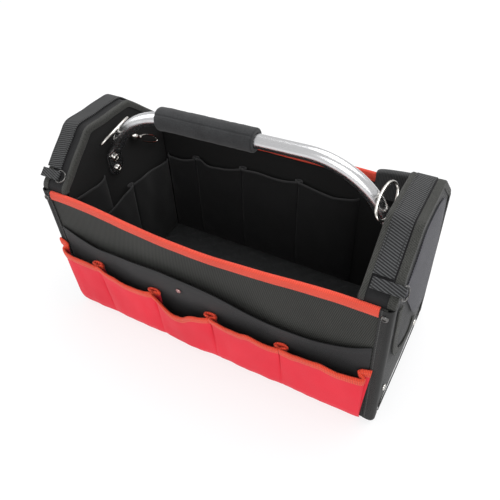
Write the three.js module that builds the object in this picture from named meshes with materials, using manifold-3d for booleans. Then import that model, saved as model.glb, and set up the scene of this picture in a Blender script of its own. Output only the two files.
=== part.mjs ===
// Open top tool tote: a fabric tool bag with stiff six-sided ends and a bolted tube handle.
// Millimetres, +Z up, X along the bag, the front faces -Y. The origin is under the middle of the base.

import * as THREE from "three";
import Module from "manifold-3d";

// Overall sizes
const length = 508; // over the bindings of both ends
const baseDepth = 228; // front to back at the floor
const rimDepth = 240; // front to back over the tape of the rims
const rimHeight = 225; // top of the tape at the ends
const ridgeHeight = 290; // top of each stiff end
const ridgeFlat = 90; // level stretch on top of each end
const endThickness = 40.5; // stiff end, from its inner face to the outside
const rimBow = 11; // how far the long rims bow out halfway
const rimSag = 4; // how far the long rims hang down halfway
const endBulge = 8; // how far each end swells outwards
const cornerRadius = 14; // lower corners, seen from the front

// Materials and clearances
const wall = 3; // padded wall
const floorThickness = 3; // base and floor board
const cloth = 1.4; // pocket cloth
const tape = 1.2; // folded tape and binding
const tapeWidth = 13; // visible width of the rim tape
const pipingThickness = 2;
const pipingWidth = 5; // on top of the ridge
const pipingDrop = 7; // down the inner face
const bindingWidth = 9.6; // twill binding on top of the ridge
const bindingDrop = 8; // down the outer face
const cornerLeg = 8; // corner binding beside each edge
const cornerTurn = 7; // outer radius of the corner binding
const webbing = 2;
const strapWidth = 23.5;
const tabWidth = 13; // loops of webbing in front of the straps' ends
const tabDrop = 56; // how far below the ridge's top they lie, along the bag's depth
const tabEye = 1.6; // radius inside a loop's eye
const strapGap = 3.5; // from a loop to the start of its strap
const ringHalf = 8.4; // half-width of the wire rings in the loops
const bowWire = 1.1; // radius of their wire
const bowStart = 3; // from the eye to where the ring's bow starts
const bowStretch = 1.5; // how much deeper the bow is than its half-width
const seam = 0.3; // gap between sewn layers

// Handle
const tubeRadius = 9.5;
const tangThickness = 4; // flattened end of the tube
const tangWidth = 30;
const tangTip = 198; // height of the lowest point of each flattened end
const tangFlat = 34; // length of the fully flat end
const tangTaper = 20; // from flat to round
const tangLean = 0.25; // lean of the tube where the taper starts
const tangSquareness = 0.5;
const handleTop = 312; // middle of the tube at its highest
const handleBend = 115; // radius of the bends
const handleShift = -4; // the handle's middle lies in front of the bag's middle
const handleSkew = 7; // and each end lies this far from there, front on the left
const gripRadius = 15.75;
const gripFrom = -113;
const gripTo = 30;
const gripRound = 3;
const boltRadius = 5.5;
const boltRise = 3.5;
const boltHeights = [207, 226];
const ringWire = 2.1; // radius of the wire of the oval rings
const ringReach = 30; // half of the oval's length
const ringHalfWidth = 11.5;
const ringTilt = 5.6; // how much higher the back of the ring lies
const ringPlace = 36; // degrees round the tube's bend, up from level
const ringLie = 45; // degrees, how steep the oval lies
const ringClearance = 1; // from the tube to the middle of the oval
const ringSquareness = 0.7;

// Pockets
const slashTop = 150; // flat front pocket
const slashFoot = 84;
const slashGape = 9.5;
const slashInset = 16.5; // its ends, in from the ends of the bag
const snapX = -26; // place of the snap on it
const snapDrop = 12; // below its top
const snapRadius = 4;
const snapRise = 2;
const slashDip = { at: 0.55, half: 0.42, depth: 10 }; // lower stretch of its rim, along the half length
const slashSag = 3;
const slashLift = 4; // its foot over the floor
const toolLift = 2; // foot of the red pockets over the floor
const pocketGape = 15;
const gapeRoundness = 0.45; // how quickly a pocket opens beside its seams
const fullHeight = 0.22; // share of a pocket's height at which its cloth stands off
const fullShare = 0.6; // share of the gape reached there
const pocketTapeWidth = 10;
const backPocketGape = 12;
const endPocketGape = 11;

// Small pieces
const wrapFrom = 62; // grey wraps over the back rim, in from the inner faces of the ends
const wrapTo = 9;
const wrapDrop = 36;
const wrapRise = 10;
const holderWidth = 11; // band of the holder on each end
const baseBindingLow = 1;
const baseBindingHigh = 11;
const baseBindingInset = 8;
const rivetRadius = 4.5;
const rivetRise = 2.4;
const tapeRivetDrop = 11; // below the rim
const hookStart = { y: 31, z: 239 }; // first point of each hook's ferrule
const hookFall = 33.5; // how steeply the hooks run down towards the back, in degrees
const ferruleRadius = 5.4;
const ferruleLength = 22;
const ferruleNeck = 2.4;
const hookEyeAt = 44; // from the start of the ferrule to the middle of the wire eye
const hookEyeReach = 24;
const hookEyeHalf = 6;
const hookWire = 1.4;

const halfLength = length / 2;
const innerHalf = halfLength - endThickness;
const skinHalf = halfLength - tape - seam;
const slope = (ridgeHeight - rimHeight) / (rimDepth / 2 - ridgeFlat / 2);
const slashEdge = halfLength - slashInset;
const snapZ = slashTop - snapDrop;
const tapeRivetHeight = rimHeight - tapeRivetDrop;

// Red pockets: ends as shares of the half length, heights as shares of the rim height.
const toolPockets = [
  { from: -0.984, to: -0.68, leftTop: 0.57, middleTop: 0.545, rightTop: 0.545, gape: 0.9 },
  { from: -0.68, to: -0.295, leftTop: 0.56, middleTop: 0.5, rightTop: 0.52, gape: 1.05 },
  { from: -0.295, to: 0.075, leftTop: 0.52, middleTop: 0.41, rightTop: 0.49, gape: 1.25 },
  { from: 0.075, to: 0.48, leftTop: 0.525, middleTop: 0.49, rightTop: 0.465, gape: 1.1 },
  { from: 0.48, to: 0.955, leftTop: 0.49, middleTop: 0.475, rightTop: 0.5, gape: 1 },
];

// Inside pockets on the back wall, in the same shares.
const backPockets = [
  { from: -0.795, to: -0.59, leftTop: 0.73, middleTop: 0.72, rightTop: 0.755, gape: 0.9 },
  { from: -0.59, to: -0.25, leftTop: 0.74, middleTop: 0.725, rightTop: 0.765, gape: 1 },
  { from: -0.25, to: 0.14, leftTop: 0.775, middleTop: 0.765, rightTop: 0.78, gape: 1 },
  { from: 0.14, to: 0.52, leftTop: 0.78, middleTop: 0.755, rightTop: 0.775, gape: 1 },
];

// Inside pockets on each end: ends as shares of half the base's depth, heights of the rim height.
const endPockets = [
  { from: -0.925, to: 0.045, leftTop: 0.68, middleTop: 0.7, rightTop: 0.745, gape: 1 },
  { from: 0.045, to: 0.925, leftTop: 0.745, middleTop: 0.74, rightTop: 0.68, gape: 0.9 },
];
const tallPockets = [
  { from: -0.925, to: -0.33, leftTop: 0.94, middleTop: 0.93, rightTop: 0.925, gape: 0.72 },
];

// Ribbed patch on each outer end: shares of half the base's depth and of the ridge height.
const patchColumns = [
  { across: -0.66, low: 0.72, high: 0.79 },
  { across: -0.5, low: 0.62, high: 0.85 },
  { across: -0.3, low: 0.5, high: 0.915 },
  { across: -0.05, low: 0.425, high: 0.93 },
  { across: 0.2, low: 0.365, high: 0.925 },
  { across: 0.4, low: 0.325, high: 0.905 },
  { across: 0.57, low: 0.3, high: 0.865 },
  { across: 0.72, low: 0.29, high: 0.78 },
  { across: 0.81, low: 0.36, high: 0.68 },
];

// The U of the holder beside it, in the same shares.
const holderPath = [
  { across: -0.77, up: 0.7 },
  { across: -0.75, up: 0.5 },
  { across: -0.67, up: 0.39 },
  { across: -0.5, up: 0.345 },
  { across: -0.3, up: 0.37 },
  { across: -0.22, up: 0.44 },
];

// Rivets on each outer end: shares of half the base's depth and of the ridge height.
const endRivets = [
  { where: "low", across: -0.77, up: 0.166 },
  { where: "high", across: 0.105, up: 0.259 },
];

// Dome heads: shares of the radius and of the rise.
const domeProfile = [
  { out: 0, up: 0 },
  { out: 1, up: 0 },
  { out: 1, up: 0.3 },
  { out: 0.72, up: 0.8 },
  { out: 0, up: 1 },
];

// Rounded tip of the flattened tube: height over the tip and share of the width.
const tangEnd = [
  { up: 12, wide: 1 },
  { up: 5, wide: 0.86 },
  { up: 1.5, wide: 0.62 },
  { up: 0, wide: 0.36 },
];

// Ferrule of a hook: distance along it and its radius.
const ferrule = [
  { run: 0, radius: ferruleNeck },
  { run: ferruleLength * 0.25, radius: ferruleRadius },
  { run: ferruleLength * 0.6, radius: ferruleRadius },
  { run: ferruleLength, radius: ferruleNeck },
];

// Straps and their ring loops: shares of the end's thickness, in from its outside. The lean is an angle.
const ends = [
  { name: "left", side: -1, strapInset: 0, loopTail: -0.12, loopEye: 0.59, ringLean: 0 },
  { name: "right", side: 1, strapInset: 0.29, loopTail: 0.81, loopEye: -0.062, ringLean: -1.25 },
];

// A closed body through rings of equal, even count. Point k of a ring lies across from its last-k.
function loft(rings, closed = false) {
  const count = rings[0].length;
  const spans = closed ? rings.length : rings.length - 1;
  const index = [];
  for (let i = 0; i < spans; i += 1) {
    const a = i * count;
    const b = ((i + 1) % rings.length) * count;
    for (let k = 0; k < count; k += 1) {
      const next = (k + 1) % count;
      index.push(a + k, b + k, b + next, a + k, b + next, a + next);
    }
  }
  if (!closed) {
    const last = (rings.length - 1) * count;
    for (let k = 0; k < count / 2 - 1; k += 1) {
      const far = count - 1 - k;
      index.push(k, k + 1, far - 1, k, far - 1, far);
      index.push(last + k, last + far - 1, last + k + 1, last + k, last + far, last + far - 1);
    }
  }
  return body(rings.flat(2), index);
}

// Geometry from positions and triangles, turned so that its faces point outwards.
function body(positions, index) {
  let volume = 0;
  const a = new THREE.Vector3();
  const b = new THREE.Vector3();
  const c = new THREE.Vector3();
  for (let i = 0; i < index.length; i += 3) {
    a.fromArray(positions, 3 * index[i]);
    b.fromArray(positions, 3 * index[i + 1]);
    c.fromArray(positions, 3 * index[i + 2]);
    volume += a.dot(b.cross(c));
  }
  const geometry = new THREE.BufferGeometry();
  geometry.setAttribute("position", new THREE.Float32BufferAttribute(positions, 3));
  geometry.setIndex(volume < 0 ? index.slice().reverse() : index);
  return geometry;
}

// Both sides of a ribbon's section, from its middle line and thickness.
function ribbon(line, thickness) {
  const near = [];
  const far = [];
  for (let i = 0; i < line.length; i += 1) {
    const before = line[Math.max(i - 1, 0)];
    const here = line[i];
    const after = line[Math.min(i + 1, line.length - 1)];
    const enter = new THREE.Vector2(here[0] - before[0], here[1] - before[1]);
    const leave = new THREE.Vector2(after[0] - here[0], after[1] - here[1]);
    if (i === 0) enter.copy(leave);
    if (i === line.length - 1) leave.copy(enter);
    enter.normalize();
    leave.normalize();
    const along = enter.clone().add(leave).normalize();
    const reach = thickness / 2 / along.dot(leave);
    near.push([here[0] - along.y * reach, here[1] + along.x * reach]);
    far.push([here[0] + along.y * reach, here[1] - along.x * reach]);
  }
  return near.concat(far.reverse());
}

function steps(from, to, count) {
  return Array.from({ length: count + 1 }, (_, i) => from + ((to - from) * i) / count);
}

// Half of the depth over the outer face of the walls, at a height.
function halfDepth(z) {
  return (baseDepth + ((rimDepth - baseDepth) * z) / rimHeight) / 2 - tape - seam;
}

// How much of the bow or sag a place along the bag has.
function midShare(x) {
  const off = Math.min(1, Math.abs(x) / innerHalf);
  return (1 - off * off) ** 2;
}

// Distance of a long wall's outer face from the middle.
function wallFace(x, z) {
  return halfDepth(z) + rimBow * midShare(x) * (z / rimHeight) ** 2;
}

function rimTop(x) {
  return rimHeight - rimSag * midShare(x);
}

// Height of the rounded lower corners, at a distance from the edge.
function cornerRise(fromEdge) {
  const off = Math.max(0, cornerRadius - fromEdge);
  return cornerRadius - Math.sqrt(Math.max(0, cornerRadius ** 2 - off ** 2));
}

// Where the swell of an end stops: across the bag, and below the ridge's binding.
function swellEdge() {
  return halfDepth(0) - cornerTurn - cornerLeg - 2 * tape;
}

function swellTop(y) {
  return ridgeHeight - slope * Math.max(0, Math.abs(y) - ridgeFlat / 2) - 2 * bindingDrop;
}

// Outer face of an end.
function endFace(y, z) {
  const across = 1 - Math.min(1, Math.abs(y) / swellEdge()) ** 2;
  const share = Math.min(1, z / swellTop(y));
  return skinHalf + endBulge * across * (1 - (2 * share - 1) ** 2);
}

// The ridge: outer surface of the strip over an end, from the front foot to the back foot.
function ridgePath() {
  const foot = halfDepth(rimHeight - tapeWidth) - wall - tape - 2 * seam;
  const shoulder = ridgeHeight - slope * (foot - ridgeFlat / 2);
  const corners = [
    { y: -foot, z: rimHeight - tapeWidth, round: 0, parts: 0 },
    { y: -foot, z: shoulder, round: 12, parts: 3 },
    { y: -ridgeFlat / 2, z: ridgeHeight, round: 18, parts: 4 },
    { y: ridgeFlat / 2, z: ridgeHeight, round: 18, parts: 4 },
    { y: foot, z: shoulder, round: 12, parts: 3 },
    { y: foot, z: rimHeight - tapeWidth, round: 0, parts: 0 },
  ];
  const path = [];
  corners.forEach((corner, i) => {
    const here = new THREE.Vector2(corner.y, corner.z);
    if (corner.parts === 0) {
      const other = corners[i === 0 ? 1 : i - 1];
      const along = new THREE.Vector2(other.y - corner.y, other.z - corner.z);
      along.normalize().multiplyScalar(i === 0 ? 1 : -1);
      path.push({ y: here.x, z: here.y, ny: -along.y, nz: along.x });
      return;
    }
    const enter = here.clone().sub(new THREE.Vector2(corners[i - 1].y, corners[i - 1].z)).normalize();
    const leave = new THREE.Vector2(corners[i + 1].y, corners[i + 1].z).sub(here).normalize();
    const turn = Math.acos(enter.dot(leave));
    const start = here.clone().addScaledVector(enter, -corner.round * Math.tan(turn / 2));
    const centre = start.clone().add(new THREE.Vector2(enter.y, -enter.x).multiplyScalar(corner.round));
    for (let k = 0; k <= corner.parts; k += 1) {
      const angle = Math.atan2(enter.x, -enter.y) - (turn * k) / corner.parts;
      const ny = Math.cos(angle);
      const nz = Math.sin(angle);
      path.push({ y: centre.x + corner.round * ny, z: centre.y + corner.round * nz, ny, nz });
    }
  });
  let run = 0;
  path.forEach((point, i) => {
    const last = path[Math.max(i - 1, 0)];
    run += Math.hypot(point.y - last.y, point.z - last.z);
    point.run = run;
  });
  return path;
}

const ridge = ridgePath();
const ridgeRun = ridge[ridge.length - 1].run;

function ridgeAt(run) {
  const i = Math.max(1, ridge.findIndex((point) => point.run >= run));
  const a = ridge[i - 1];
  const b = ridge[i];
  const share = (run - a.run) / (b.run - a.run);
  const normal = new THREE.Vector2(a.ny, a.nz).lerp(new THREE.Vector2(b.ny, b.nz), share).normalize();
  return { y: a.y + (b.y - a.y) * share, z: a.z + (b.z - a.z) * share, ny: normal.x, nz: normal.y, run };
}

function ridgeStretch(from, to) {
  const between = ridge.filter((point) => point.run > from + 0.5 && point.run < to - 0.5);
  return [ridgeAt(from), ...between, ridgeAt(to)];
}

// Where the ridge passes a height on its front, measured along it.
function ridgeRunAtHeight(z) {
  const i = ridge.findIndex((point) => point.z >= z);
  const a = ridge[i - 1];
  const b = ridge[i];
  return a.run + ((b.run - a.run) * (z - a.z)) / (b.z - a.z);
}

const tabRun = ridgeRunAtHeight(ridgeHeight - slope * tabDrop);

// A section of (x, height over the ridge) points swept along a stretch of the ridge.
function overRidge(side, section, from, to) {
  return loft(ridgeStretch(from, to).map((point) => section.map(([x, rise]) => [
    side * x,
    point.y + point.ny * rise,
    point.z + point.nz * rise,
  ])));
}

// Underside of the ridge strip, less a seam, at a place across the bag.
function underRidge(y) {
  const under = ridge.map((point) => ({
    y: point.y - point.ny * (wall + seam),
    z: point.z - point.nz * (wall + seam),
  }));
  const i = Math.max(1, under.findIndex((point) => point.y >= y));
  const a = under[i - 1];
  const b = under[i];
  return b.y - a.y < 0.01 ? b.z : a.z + ((b.z - a.z) * (y - a.y)) / (b.y - a.y);
}

// A long wall, front (-1) or back (1).
function longWall(face) {
  const edge = skinHalf - cornerTurn + tape;
  const rings = steps(-edge, edge, 14).map((x) => {
    const low = cornerRise(halfLength - Math.abs(x));
    const heights = steps(low, rimTop(x) - tape - seam, 4);
    const outer = heights.map((z) => [x, face * wallFace(x, z), z]);
    const inner = heights.map((z) => [x, face * (wallFace(x, z) - wall), z]);
    return outer.concat(inner.reverse());
  });
  return loft(rings);
}

// Tape folded over a long rim.
function rimTape(face) {
  const edge = skinHalf - cornerTurn + tape - cornerLeg - seam;
  const rings = steps(-edge, edge, 14).map((x) => {
    const top = rimTop(x);
    const low = top - tapeWidth;
    const out = seam + tape / 2;
    const back = -wall - seam - tape / 2;
    const line = [
      [wallFace(x, low) + out, low],
      [wallFace(x, top) + out, top - tape / 2],
      [wallFace(x, top) + back, top - tape / 2],
      [wallFace(x, low) + back, low],
    ];
    return ribbon(line, tape).map(([y, z]) => [x, face * y, z]);
  });
  return loft(rings);
}

// A flat plate lying on the floor of the bag.
function floorPlate(halfX, halfY, low) {
  const shape = new THREE.Shape();
  const round = cornerRadius / 2;
  shape.moveTo(halfX - round, -halfY);
  [[1, -1, -90], [1, 1, 0], [-1, 1, 90], [-1, -1, 180]].forEach(([x, y, from]) => {
    const start = THREE.MathUtils.degToRad(from);
    shape.absarc(x * (halfX - round), y * (halfY - round), round, start, start + Math.PI / 2, false);
  });
  const options = { depth: floorThickness, bevelEnabled: false, curveSegments: 3 };
  return new THREE.ExtrudeGeometry(shape, options).translate(0, 0, low);
}

// A skin of a stiff end: face gives its outer side, inward is where its thickness goes.
function endPanel(side, face, halfWidth, low, rows) {
  const under = ridge.map((point) => point.y - point.ny * (wall + seam));
  const even = steps(-swellEdge(), swellEdge(), 6);
  const inside = [...under, ...even].filter((y) => Math.abs(y) < halfWidth - 1);
  const columns = [-halfWidth, ...inside.sort((a, b) => a - b), halfWidth];
  const rings = columns.map((y) => {
    const foot = Math.max(low, cornerRise(halfDepth(0) - Math.abs(y)));
    const heights = [...steps(foot, swellTop(y), rows), underRidge(y)];
    const outer = heights.map((z) => [side * face(y, z), y, z]);
    const inner = heights.map((z) => [side * (face(y, z) - wall), y, z]);
    return outer.concat(inner.reverse());
  });
  return loft(rings);
}

// Binding folded round a corner between a long wall and an end.
function cornerBinding(side, face) {
  const wallEnd = skinHalf - cornerTurn + tape;
  const rings = steps(cornerRise(cornerTurn), rimHeight, 2).map((z) => {
    const y = halfDepth(z) + seam + tape / 2;
    const x = skinHalf + seam + tape / 2;
    const turn = cornerTurn - tape / 2;
    const line = [[wallEnd - cornerLeg, y]];
    for (const angle of steps(Math.PI / 2, 0, 3)) {
      line.push([x - turn + turn * Math.cos(angle), y - turn + turn * Math.sin(angle)]);
    }
    line.push([x, y - turn - cornerLeg]);
    return ribbon(line, tape).map(([px, py]) => [side * px, face * py, z]);
  });
  return loft(rings);
}

// A strip of cloth lying on the outer end, between two heights at each column.
function onEnd(side, columns, rise, thickness, rows) {
  const rings = columns.map(({ y, low, high }) => {
    const heights = steps(low, high, rows);
    const outer = heights.map((z) => [side * (endFace(y, z) + rise + thickness), y, z]);
    const inner = heights.map((z) => [side * (endFace(y, z) + rise), y, z]);
    return outer.concat(inner.reverse());
  });
  return loft(rings);
}

// Height of a pocket's rim and its gape at a share of its width.
function pocketShape(pocket, share) {
  const middle = 4 * share * (1 - share);
  const straight = pocket.leftTop + (pocket.rightTop - pocket.leftTop) * share;
  const sag = (pocket.leftTop + pocket.rightTop) / 2 - pocket.middleTop;
  return { top: (straight - sag * middle) * rimHeight, gape: pocket.gape * middle ** gapeRoundness };
}

// Columns across a row of pockets, closer together beside the seams.
function pocketColumns(pockets, unit) {
  const shares = [0, 0.05, 0.14, 0.3, 0.5, 0.7, 0.86, 0.95];
  const columns = [];
  pockets.forEach((pocket) => {
    shares.forEach((share) => {
      const at = (pocket.from + (pocket.to - pocket.from) * share) * unit;
      columns.push({ at, ...pocketShape(pocket, share) });
    });
  });
  const last = pockets[pockets.length - 1];
  columns.push({ at: last.to * unit, ...pocketShape(last, 1) });
  return columns;
}

// How far a pocket's cloth has left the wall, from its foot (0) to its rim (1).
function fullness(share) {
  return Math.sqrt(Math.min(1, share / fullHeight)) * (fullShare + (1 - fullShare) * share);
}

const pocketRows = [0, 0.06, fullHeight, 0.6, 1];

// Outer face of the flat front pocket, measured from the middle of the bag.
function slashFace(x, z) {
  const share = Math.min(1, Math.max(0, (z - slashFoot) / (slashTop - slashFoot)));
  const along = Math.max(0, 1 - (x / slashEdge) ** 4);
  const ease = share * share * (3 - 2 * share);
  return wallFace(x, z) + seam + cloth + slashGape * ease * along;
}

// Rim of the flat front pocket, lower towards its right side.
function slashRim(x) {
  const share = x / slashEdge;
  const dip = Math.max(0, 1 - ((share - slashDip.at) / slashDip.half) ** 2);
  return slashTop - slashDip.depth * dip - slashSag * Math.max(0, 1 - share * share);
}

function slashPocket() {
  const rings = steps(-slashEdge, slashEdge, 16).map((x) => {
    const low = cornerRise(halfLength - Math.abs(x)) + slashLift;
    const heights = [low, ...steps(slashFoot, slashRim(x), 3)];
    const outer = heights.map((z) => [x, -slashFace(x, z), z]);
    const inner = heights.map((z) => [x, -slashFace(x, z) + cloth, z]);
    return outer.concat(inner.reverse());
  });
  return loft(rings);
}

// Outer face of the red pockets over the flat pocket.
function toolFace(column, z, low) {
  const share = (z - low) / (column.top - low);
  const stand = pocketGape * column.gape * fullness(share);
  return slashFace(column.at, z) + seam + cloth + stand;
}

function toolPocketFoot(x) {
  return cornerRise(halfLength - Math.abs(x)) + toolLift;
}

function toolPocketRow() {
  const rings = pocketColumns(toolPockets, halfLength).map((column) => {
    const low = toolPocketFoot(column.at);
    const heights = pocketRows.map((share) => low + (column.top - tape - seam - low) * share);
    const outer = heights.map((z) => [column.at, -toolFace(column, z, low), z]);
    const inner = heights.map((z) => [column.at, -toolFace(column, z, low) + cloth, z]);
    return outer.concat(inner.reverse());
  });
  return loft(rings);
}

function toolPocketTape() {
  const rings = pocketColumns(toolPockets, halfLength).map((column) => {
    const low = toolPocketFoot(column.at);
    const top = column.top;
    const face = toolFace(column, top, low);
    const foot = toolFace(column, top - pocketTapeWidth, low);
    const out = 3 * seam + tape / 2;
    const line = [
      [foot + out + seam, top - pocketTapeWidth],
      [face + out, top - tape / 2],
      [face - cloth - seam / 2, top - tape / 2],
    ];
    return ribbon(line, tape).map(([y, z]) => [column.at, -y, z]);
  });
  return loft(rings);
}

// Height of the inside pockets' feet, over the floor board.
const foot = 2 * (floorThickness + seam) + seam;

// Inside pockets on the back wall.
function backPocketRow() {
  const rings = pocketColumns(backPockets, halfLength).map((column) => {
    const heights = pocketRows.map((share) => foot + (column.top - foot) * share);
    const stand = (z) => {
      const gape = backPocketGape * column.gape * fullness((z - foot) / (column.top - foot));
      return wallFace(column.at, z) - wall - seam - gape;
    };
    const outer = heights.map((z) => [column.at, stand(z) - cloth, z]);
    const inner = heights.map((z) => [column.at, stand(z), z]);
    return outer.concat(inner.reverse());
  });
  return loft(rings);
}

// Inside pockets on an end, standing off by a base distance.
function endPocketRow(side, pockets, base) {
  const rings = pocketColumns(pockets, baseDepth / 2).map((column) => {
    const heights = pocketRows.map((share) => foot + (column.top - foot) * share);
    const stand = (z) => {
      const gape = endPocketGape * column.gape * fullness((z - foot) / (column.top - foot));
      return innerHalf - seam - base - gape;
    };
    const outer = heights.map((z) => [side * (stand(z) - cloth), column.at, z]);
    const inner = heights.map((z) => [side * stand(z), column.at, z]);
    return outer.concat(inner.reverse());
  });
  return loft(rings);
}

// Ribbed wrap over an end of the back rim.
function cornerWrap(side) {
  const from = innerHalf - wrapFrom;
  const to = innerHalf - wrapTo;
  const rings = steps(from, to, 6).map((x) => {
    const share = (x - from) / (to - from);
    const top = rimTop(x) + 3 * tape + wrapRise * Math.sqrt(share);
    const low = rimHeight - wrapDrop;
    const out = 3 * seam + 1.5 * tape;
    const back = -wall - out;
    const line = [
      [wallFace(x, low) + out, low],
      [wallFace(x, rimHeight) + out, rimHeight],
      [wallFace(x, rimHeight) + out - tape / 2, top - tape / 2],
      [wallFace(x, rimHeight) + back + tape / 2, top - tape / 2],
      [wallFace(x, rimHeight) + back, rimHeight],
      [wallFace(x, low) + back, low],
    ];
    return ribbon(line, tape).map(([y, z]) => [side * x, y, z]);
  });
  return loft(rings);
}

// Loop of webbing on the ridge whose eye holds a ring. It lies across the ridge.
function ringTab(end) {
  const rise = 2 * seam + tape + webbing;
  const eye = tabEye + tape / 2;
  const turn = Math.sign(end.loopTail - end.loopEye);
  const flat = tape / 2 + seam / 2;
  const tail = halfLength - end.loopTail * endThickness;
  const middle = halfLength - end.loopEye * endThickness;
  const line = [[tail, rise + flat]];
  for (const angle of steps(0.75 * Math.PI, -0.75 * Math.PI, 8)) {
    line.push([middle + turn * eye * Math.cos(angle), rise + eye * Math.sin(angle)]);
  }
  line.push([tail, rise - flat]);
  return overRidge(end.side, ribbon(line, tape), tabRun - tabWidth / 2, tabRun + tabWidth / 2);
}

// A wire of a given radius round a closed list of points in a plane.
function wireLoop(points, normal, radius, sides) {
  const rings = points.map((point, i) => {
    const before = points[(i + points.length - 1) % points.length];
    const after = points[(i + 1) % points.length];
    const across = after.clone().sub(before).normalize().cross(normal);
    return steps(0, 2 * Math.PI, sides).slice(0, sides).map((angle) => point.clone()
      .addScaledVector(across, radius * Math.cos(angle))
      .addScaledVector(normal, radius * Math.sin(angle)).toArray());
  });
  return loft(rings, true);
}

// Ring in the eye of a webbing loop: a straight bar and a round bow.
function strapRing(end) {
  const at = ridgeAt(tabRun);
  const rise = 2 * seam + tape + webbing;
  const along = new THREE.Vector3(0, at.nz, -at.ny);
  const up = new THREE.Vector3(0, at.ny, at.nz);
  const out = Math.sign(end.loopTail - end.loopEye) * end.side;
  const eye = new THREE.Vector3(end.side * (halfLength - end.loopEye * endThickness), at.y, at.z);
  eye.addScaledVector(up, rise);
  const lean = new THREE.Vector3(out * Math.cos(end.ringLean), 0, 0);
  lean.addScaledVector(up, Math.sin(end.ringLean));
  const points = [];
  for (const angle of steps(0, Math.PI, 7)) {
    points.push(eye.clone()
      .addScaledVector(along, ringHalf * Math.cos(angle))
      .addScaledVector(lean, bowStart + (ringHalf + bowStretch) * Math.sin(angle)));
  }
  points.push(eye.clone().addScaledVector(along, bowWire - ringHalf));
  points.push(eye.clone().addScaledVector(along, ringHalf - bowWire));
  return wireLoop(points, along.clone().cross(lean).normalize(), bowWire, 5);
}

// Middle of the handle's tube at a place along the bag, on a height.
function handlePoint(x, z) {
  return new THREE.Vector3(x, handleShift + (handleSkew * x) / innerHalf, z);
}

const bendFrom = innerHalf - seam - tangThickness / 2 - handleBend;

// Height of the bent tube's middle at a place along the bag.
function handleHeight(x) {
  const off = Math.max(0, Math.abs(x) - bendFrom);
  return handleTop - handleBend + Math.sqrt(handleBend ** 2 - off ** 2);
}

// An even-sided section round a point, half-width p in the handle's plane and q across it.
function tubeRing(point, along, p, q, squareness, sides = 12) {
  const across = new THREE.Vector3(along.z, 0, -along.x).normalize();
  const power = (value) => Math.sign(value) * Math.abs(value) ** squareness;
  return steps(0.5, sides - 0.5, sides - 1).map((k) => {
    const angle = (2 * Math.PI * k) / sides;
    return point.clone()
      .addScaledVector(across, p * power(Math.cos(angle)))
      .add(new THREE.Vector3(0, q * power(Math.sin(angle)), 0)).toArray();
  });
}

// Stations of half of the handle, from the middle to the tip of a flattened end.
function handleStations(side) {
  const stations = [];
  const flatTop = tangTip + tangFlat;
  const bendEnd = Math.asin((flatTop + tangTaper - handleTop + handleBend) / handleBend);
  for (const x of steps(0, bendFrom, 3).slice(0, 3)) {
    const along = new THREE.Vector3(side, 0, 0);
    stations.push({ point: handlePoint(side * x, handleTop), along, flat: 0 });
  }
  for (const angle of steps(Math.PI / 2, bendEnd, 6)) {
    const x = bendFrom + handleBend * Math.cos(angle);
    const z = handleTop - handleBend + handleBend * Math.sin(angle);
    const along = new THREE.Vector3(side * Math.sin(angle), 0, -Math.cos(angle));
    stations.push({ point: handlePoint(side * x, z), along, flat: 0 });
  }
  for (const share of [0.3, 0.6, 0.85, 1]) {
    const half = tubeRadius + (tangThickness / 2 - tubeRadius) * share;
    const z = flatTop + tangTaper * (1 - share);
    const x = THREE.MathUtils.lerp(handleReach(z), innerHalf - seam - half, share);
    const along = new THREE.Vector3(side * tangLean * (1 - share), 0, -1).normalize();
    stations.push({ point: handlePoint(side * x, z), along, flat: share });
  }
  return stations;
}

// How far out the bent tube's middle lies at a height.
function handleReach(z) {
  return bendFrom + Math.sqrt(Math.max(0, handleBend ** 2 - (z - handleTop + handleBend) ** 2));
}

function handleTube() {
  const rings = [];
  const tangRings = (side) => {
    const x = innerHalf - seam - tangThickness / 2;
    const along = new THREE.Vector3(0, 0, -1);
    return tangEnd.map(({ up, wide }) => {
      const point = handlePoint(side * x, tangTip + up);
      return tubeRing(point, along, tangThickness / 2, (wide * tangWidth) / 2, tangSquareness);
    });
  };
  const half = (side) => handleStations(side).map(({ point, along, flat }) => tubeRing(
    point,
    along,
    tubeRadius + (tangThickness / 2 - tubeRadius) * flat,
    tubeRadius + (tangWidth / 2 - tubeRadius) * flat,
    1 + (tangSquareness - 1) * flat));
  const flip = (ring) => ring.slice(6).concat(ring.slice(0, 6)).reverse();
  const right = [...half(1), ...tangRings(1)];
  const left = [...half(-1), ...tangRings(-1)].map(flip);
  rings.push(...left.slice(1).reverse(), ...right);
  return loft(rings);
}

// Foam sleeve round the tube.
function handleGrip() {
  const ring = (x, radius) => {
    const rise = handleHeight(x + 0.5) - handleHeight(x - 0.5);
    const along = new THREE.Vector3(1, 0, rise).normalize();
    return tubeRing(handlePoint(x, handleHeight(x)), along, radius, radius, 1);
  };
  const places = steps(gripFrom + gripRound, gripTo - gripRound, 5);
  const rings = [ring(gripFrom, gripRadius - gripRound), ...places.map((x) => ring(x, gripRadius))];
  rings.push(ring(gripTo, gripRadius - gripRound));
  steps(gripTo, gripFrom, 6).forEach((x) => rings.push(ring(x, tubeRadius + 2 * seam)));
  return loft(rings, true);
}

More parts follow.
